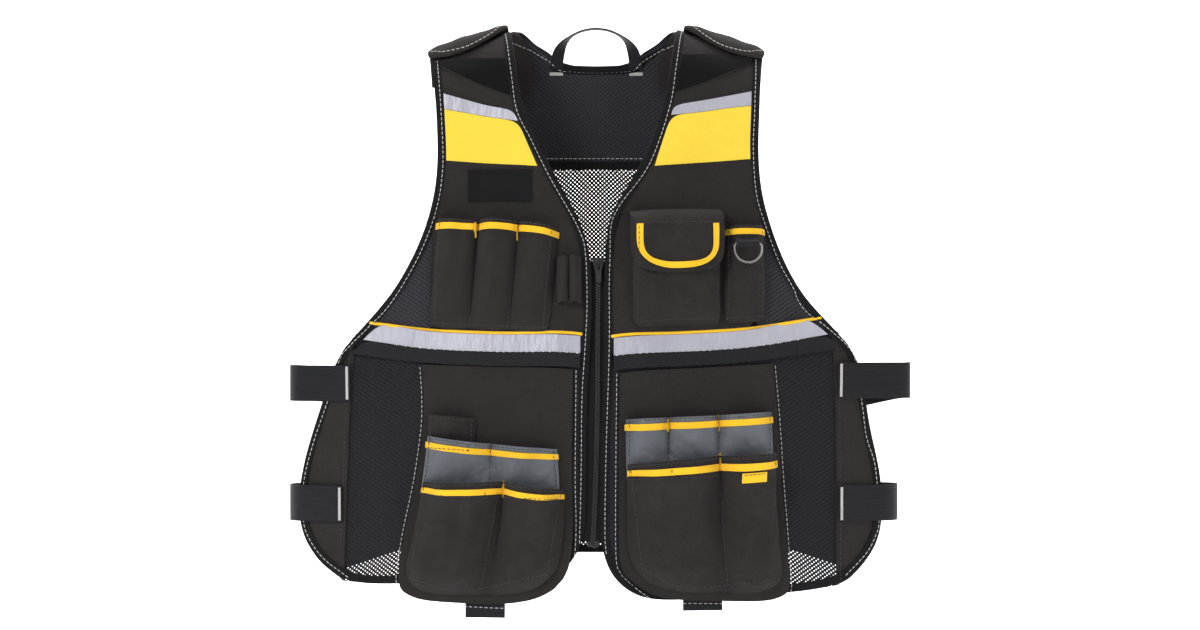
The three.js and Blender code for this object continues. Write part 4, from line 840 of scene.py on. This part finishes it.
# Bartacks: threads laid close together across a short line
BARTACKS = [
    (-1, "white_thread", [(0.828, 0.563), (0.828, 0.617)]),
    (-1, "white_thread", [(0.852, 0.765), (0.852, 0.819)]),
    (1, "white_thread", [(0.815, 0.558), (0.815, 0.612)]),
    (1, "white_thread", [(0.815, 0.764), (0.815, 0.818)]),
    (-1, "yellow_thread", [(0.398, 0.323), (0.398, 0.348)]),
    (-1, "yellow_thread", [(0.262, 0.327), (0.262, 0.352)]),
    (-1, "yellow_thread", [(0.302, 0.750), (0.302, 0.776)]),
    (1, "yellow_thread", [(0.234, 0.644), (0.234, 0.668)]),
    (1, "yellow_thread", [(0.403, 0.642), (0.403, 0.668)]),
    (1, "yellow_thread", [(0.405, 0.704), (0.405, 0.730)]),
]
for finish in ("white_thread", "yellow_thread"):
    runs = [run for side, colour, table in BARTACKS if colour == finish
            for run in seated(front_line(side, table), step=TACK_STEP)]
    stitch(finish + "_bartacks", runs, finish, Pitch=BARTACK_PITCH, Length=BARTACK_LENGTH,
           Radius=BARTACK_THREAD, Turn=math.pi / 2)

# Bartacks of the hang loop, inside the neck
LOOP_FEET = (0.137, -0.137)
LOOP_HALF = 0.022
LOOP_DOWN = 0.060
silver = []
for across in LOOP_FEET:
    foot = [(across - LOOP_HALF, LOOP_DOWN), (across + LOOP_HALF, LOOP_DOWN)]
    silver += seated(front_line(1, foot, face=-1), True, TACK_STEP)
stitch("loop_bartacks", silver, Pitch=BARTACK_PITCH, Length=LOOP_BARTACK_LENGTH, Radius=BARTACK_THREAD,
       Turn=math.pi / 2)

# Binding folded over the neck edge of the back
NECK_EDGE = [(-0.270, 0.004), (-0.250, 0.004), (-0.210, 0.017), (-0.160, 0.030), (-0.117, 0.045),
             (0, 0.048), (0.117, 0.045), (0.160, 0.030), (0.210, 0.017), (0.250, 0.004), (0.270, 0.004)]
BINDING_SECTION = [(-0.0010, -0.0012), (-0.0013, 0), (-0.0010, 0.0012), (-0.0004, 0.0017),
                   (0.0080, 0.0017), (0.0084, 0.0012), (0.0084, -0.0012), (0.0080, -0.0017),
                   (-0.0004, -0.0017)]
YOKE_MIDDLE = 0.0070
STEP_HEIGHT = 0.010
RING_STEP = 0.003


def settled(line):
    """The part of a line that meets cloth, and how high the cloth stands there, with slits bridged."""
    found = [seat(x, path) for x, path in line]
    bases = torso(line[:, 0], line[:, 1])
    normals = outward(line[:, 0], line[:, 1])
    lifts = np.array([np.dot(spot[0] - Vector(base), normal) if spot else ANY_LAYER
                      for spot, base, normal in zip(found, bases, normals)])
    good = np.flatnonzero(lifts - drape(line[:, 0], line[:, 1]) < STEP_HEIGHT)
    bridged = np.interp(np.arange(len(line)), good, lifts[good])
    smooth = np.convolve(np.pad(bridged, 2, mode="edge"), np.full(5, 0.2), mode="valid")
    return line[good[0]:good[-1] + 1], smooth[good[0]:good[-1] + 1]


def folded_over(table, section, lift, side=1, face=-1):
    """A tape folded over the edge that a table gives: section rows are (into the cloth, outward)."""
    line = resample(front_line(side, table, face=face), RING_STEP)
    ahead = np.gradient(line, axis=0)
    ahead /= np.linalg.norm(ahead, axis=1, keepdims=True)
    into = np.stack([ahead[:, 1], -ahead[:, 0]], 1)
    rings = []
    for depth, rise in section:
        place = line + into * depth
        normal = outward(place[:, 0], place[:, 1])
        push = lift + rise + drape(place[:, 0], place[:, 1])
        rings.append(torso(place[:, 0], place[:, 1]) + normal * push[:, None])
    return np.stack(rings, 1)


def swept(rings):
    """Closed body through rings of points."""
    count, sides = rings.shape[:2]
    points = rings.reshape(-1, 3)
    faces = []
    for start in range(0, (count - 1) * sides, sides):
        for k in range(sides):
            after = (k + 1) % sides
            faces.append((start + k, start + after, start + sides + after, start + sides + k))
    faces += [list(range(sides))[::-1], list(range((count - 1) * sides, count * sides))]
    mesh = bpy.data.meshes.new("swept")
    mesh.from_pydata(points.tolist(), [], faces)
    grid = bmesh.new()
    grid.from_mesh(mesh)
    bmesh.ops.recalc_face_normals(grid, faces=grid.faces)
    grid.to_mesh(mesh)
    grid.free()
    x, path, _ = on_cloth(points)
    lay_uv(mesh, x, path)
    return mesh


# Tape over the join of yoke and mesh
YOKE_JOIN = [(-0.524, 0.218), (0.0, 0.218), (0.524, 0.218)]
JOIN_SECTION = [(-0.0045, -0.0013), (-0.0040, -0.0017), (0.0040, -0.0017), (0.0045, -0.0013),
                (0.0045, 0.0013), (0.0040, 0.0017), (-0.0040, 0.0017), (-0.0045, 0.0013)]
piece("yoke_seam_tape", swept(folded_over(YOKE_JOIN, JOIN_SECTION, YOKE_MIDDLE)), "binding")
piece("neck_binding", swept(folded_over(NECK_EDGE, BINDING_SECTION, YOKE_MIDDLE)), "binding")

# Yellow piping along the top of the waist tape, and short tapes behind the ends of the seams by it
BEHIND = 0.0022
PIPING_UP = 0.0315
PIPING_RADIUS = 0.0017
WAIST_SECTION = [(-0.0060, -0.0006), (0.0060, -0.0006), (0.0060, 0.0006), (-0.0060, 0.0006)]
for side, edge in EDGES.items():
    table = [(across, down - PIPING_UP) for across, down in edge["waist"]]
    line, lifts = settled(resample(front_line(side, table), SEAM_STEP))
    normals = outward(line[:, 0], line[:, 1])
    places = torso(line[:, 0], line[:, 1]) + normals * lifts[:, None]
    run = [(Vector(place), Vector(normal)) for place, normal in zip(places, normals)]
    end = "left" if side < 0 else "right"
    piece("waist_piping_" + end, tube([run], PIPING_RADIUS), "yellow_trim")
    for kind in ("waist_end", "mesh_end"):
        line, lifts = settled(resample(front_line(side, edge[kind]), RING_STEP))
        under = float(np.min(lifts - drape(line[:, 0], line[:, 1]))) - BEHIND
        backing = folded_over(edge[kind], WAIST_SECTION, under, side, 1)
        piece(kind + "_tape_" + end, swept(backing), "binding")

# Zip teeth: two rows of moulded teeth that mesh on the middle line, on a flat core
ZIP = [(0.008, 0.400), (0.006, 0.533), (0.002, 0.700), (-0.010, 0.860)]
ZIP_EDGES = [(-0.0060, -0.0032), (0.0060, -0.0032), (0.0060, -0.0024), (-0.0060, -0.0024)]
ZIP_DEPTH = 0.001
TOOTH_PITCH = 0.0028
TOOTH_SIZE = 0.0017
TOOTH_ASIDE = 0.0014
CORE_RADIUS = 0.0009
line = resample(front_line(1, ZIP), SEAM_STEP)
normals = outward(line[:, 0], line[:, 1])
middle = torso(line[:, 0], line[:, 1]) - normals * ZIP_DEPTH
run = [(Vector(place), Vector(normal)) for place, normal in zip(middle, normals)]
halfway = [((a[0] + b[0]) / 2, a[1]) for a, b in zip(run, run[1:])]
teeth = [sewn([row], "zip_plastic", Pitch=TOOTH_PITCH, Length=TOOTH_SIZE, Radius=TOOTH_SIZE, Sides=10,
              Aside=aside, Flat=1.25) for row, aside in ((run, TOOTH_ASIDE), (halfway, -TOOTH_ASIDE))]
teeth.append(tube([run], CORE_RADIUS))
teeth.append(swept(folded_over(ZIP, ZIP_EDGES, 0.0, face=1)))
joined = bmesh.new()
for mesh in teeth:
    joined.from_mesh(mesh)
chain_mesh = bpy.data.meshes.new("zip_teeth")
joined.to_mesh(chain_mesh)
joined.free()
teeth_piece = piece("zip_teeth", chain_mesh, "zip_plastic")
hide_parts("zip_chain")

# The hard pieces keep their shape and get rounded edges
EDGE_WIDTH = 0.0003
for name in ("d_ring", "zip_pull", "zip_slider"):
    node = nodes[name]
    node.data.materials.clear()
    node.data.materials.append(MATERIALS["nickel" if name == "d_ring" else "zip_plastic"])
    bevel = node.modifiers.new("edge", "BEVEL")
    bevel.width = EDGE_WIDTH
    bevel.segments = 2
    bevel.limit_method = "ANGLE"

# Floor that sweeps up behind, and soft light
BACKDROP = [(-2.6, -0.70), (0.2, -0.70), (0.6, -0.69), (1.0, -0.62), (1.3, -0.46), (1.5, -0.2),
            (1.6, 0.2), (1.63, 0.8), (1.64, 2.6)]
BACKDROP_HALF = 4
GLOW = 0.55


def backdrop():
    """A pale floor and wall in one sweep, clear from behind so that the vest shows from every side."""
    profile = curve_through(BACKDROP, 12)
    points = [(side * BACKDROP_HALF, y, z) for y, z in profile for side in (-1, 1)]
    faces = [(2 * i, 2 * i + 1, 2 * i + 3, 2 * i + 2) for i in range(len(profile) - 1)]
    mesh = bpy.data.meshes.new("floor")
    mesh.from_pydata(points, [], faces)
    for face in mesh.polygons:
        face.use_smooth = True
    made = bpy.data.objects.new("floor", mesh)
    bpy.context.collection.objects.link(made)
    material, tree = blank("pale floor")
    place = put(tree, "ShaderNodeTexCoord").outputs["Object"]
    grain = mottle(tree, place, 0.02)
    ramp = put(tree, "ShaderNodeMix", {"Factor": grain}, data_type="RGBA")
    ramp.inputs[6].default_value = linear("#f6f6f5")
    ramp.inputs[7].default_value = linear("#fbfbfa")
    shade = put(tree, "ShaderNodeBsdfPrincipled", {"Base Color": ramp.outputs[2], "Roughness": 0.8,
                                                   "Emission Color": linear("#ffffff"),
                                                   "Emission Strength": GLOW})
    behind = put(tree, "ShaderNodeNewGeometry").outputs["Backfacing"]
    clear = put(tree, "ShaderNodeBsdfTransparent").outputs[0]
    surface = put(tree, "ShaderNodeMixShader", {0: behind, 1: shade.outputs[0], 2: clear}).outputs[0]
    put(tree, "ShaderNodeOutputMaterial", {"Surface": surface})
    mesh.materials.append(material)
    return made


def lamp(name, place, aim, size, power):
    """A round soft light of a size in metres and a power in watts."""
    data = bpy.data.lights.new(name, "AREA")
    data.shape = "DISK"
    data.size = size
    data.energy = power
    made = bpy.data.objects.new(name, data)
    made.location = place
    made.rotation_euler = (Vector(aim) - Vector(place)).to_track_quat("-Z", "Y").to_euler()
    bpy.context.collection.objects.link(made)
    return made


MIDDLE = (0.0042, 0.0, -0.2993)
WORLD_LIGHT = 0.32
backdrop()
lamp("key", (-1.5, -2.2, 1.1), MIDDLE, 1.0, 46)
lamp("fill", (1.9, -1.9, 0.1), MIDDLE, 1.1, 13)
lamp("backdrop light", (0.0, 0.35, 2.0), (0, 1.6, -0.3), 1.8, 60)
world = bpy.data.worlds.new("studio")
bpy.context.scene.world = world
world.use_nodes = True
world.node_tree.nodes["Background"].inputs[0].default_value = linear("#fbfbfd")
world.node_tree.nodes["Background"].inputs[1].default_value = WORLD_LIGHT
bpy.context.scene.view_settings.view_transform = "Standard"

# Camera straight ahead, with the width of the picture given at the depth of the vest's front
VIEW_WIDTH = 1.26
DISTANCE = 3.2
FRONT = 0.06
SENSOR = 36
camera_data = bpy.data.cameras.new("camera")
camera_data.sensor_width = SENSOR
camera_data.lens = SENSOR * (DISTANCE - FRONT) / VIEW_WIDTH
camera = bpy.data.objects.new("camera", camera_data)
camera.location = (MIDDLE[0], -DISTANCE, MIDDLE[2])
camera.rotation_euler = (math.pi / 2, 0, 0)
bpy.context.collection.objects.link(camera)
bpy.context.scene.camera = camera

print("flat sizes in mm:", json.dumps(flat_sizes))
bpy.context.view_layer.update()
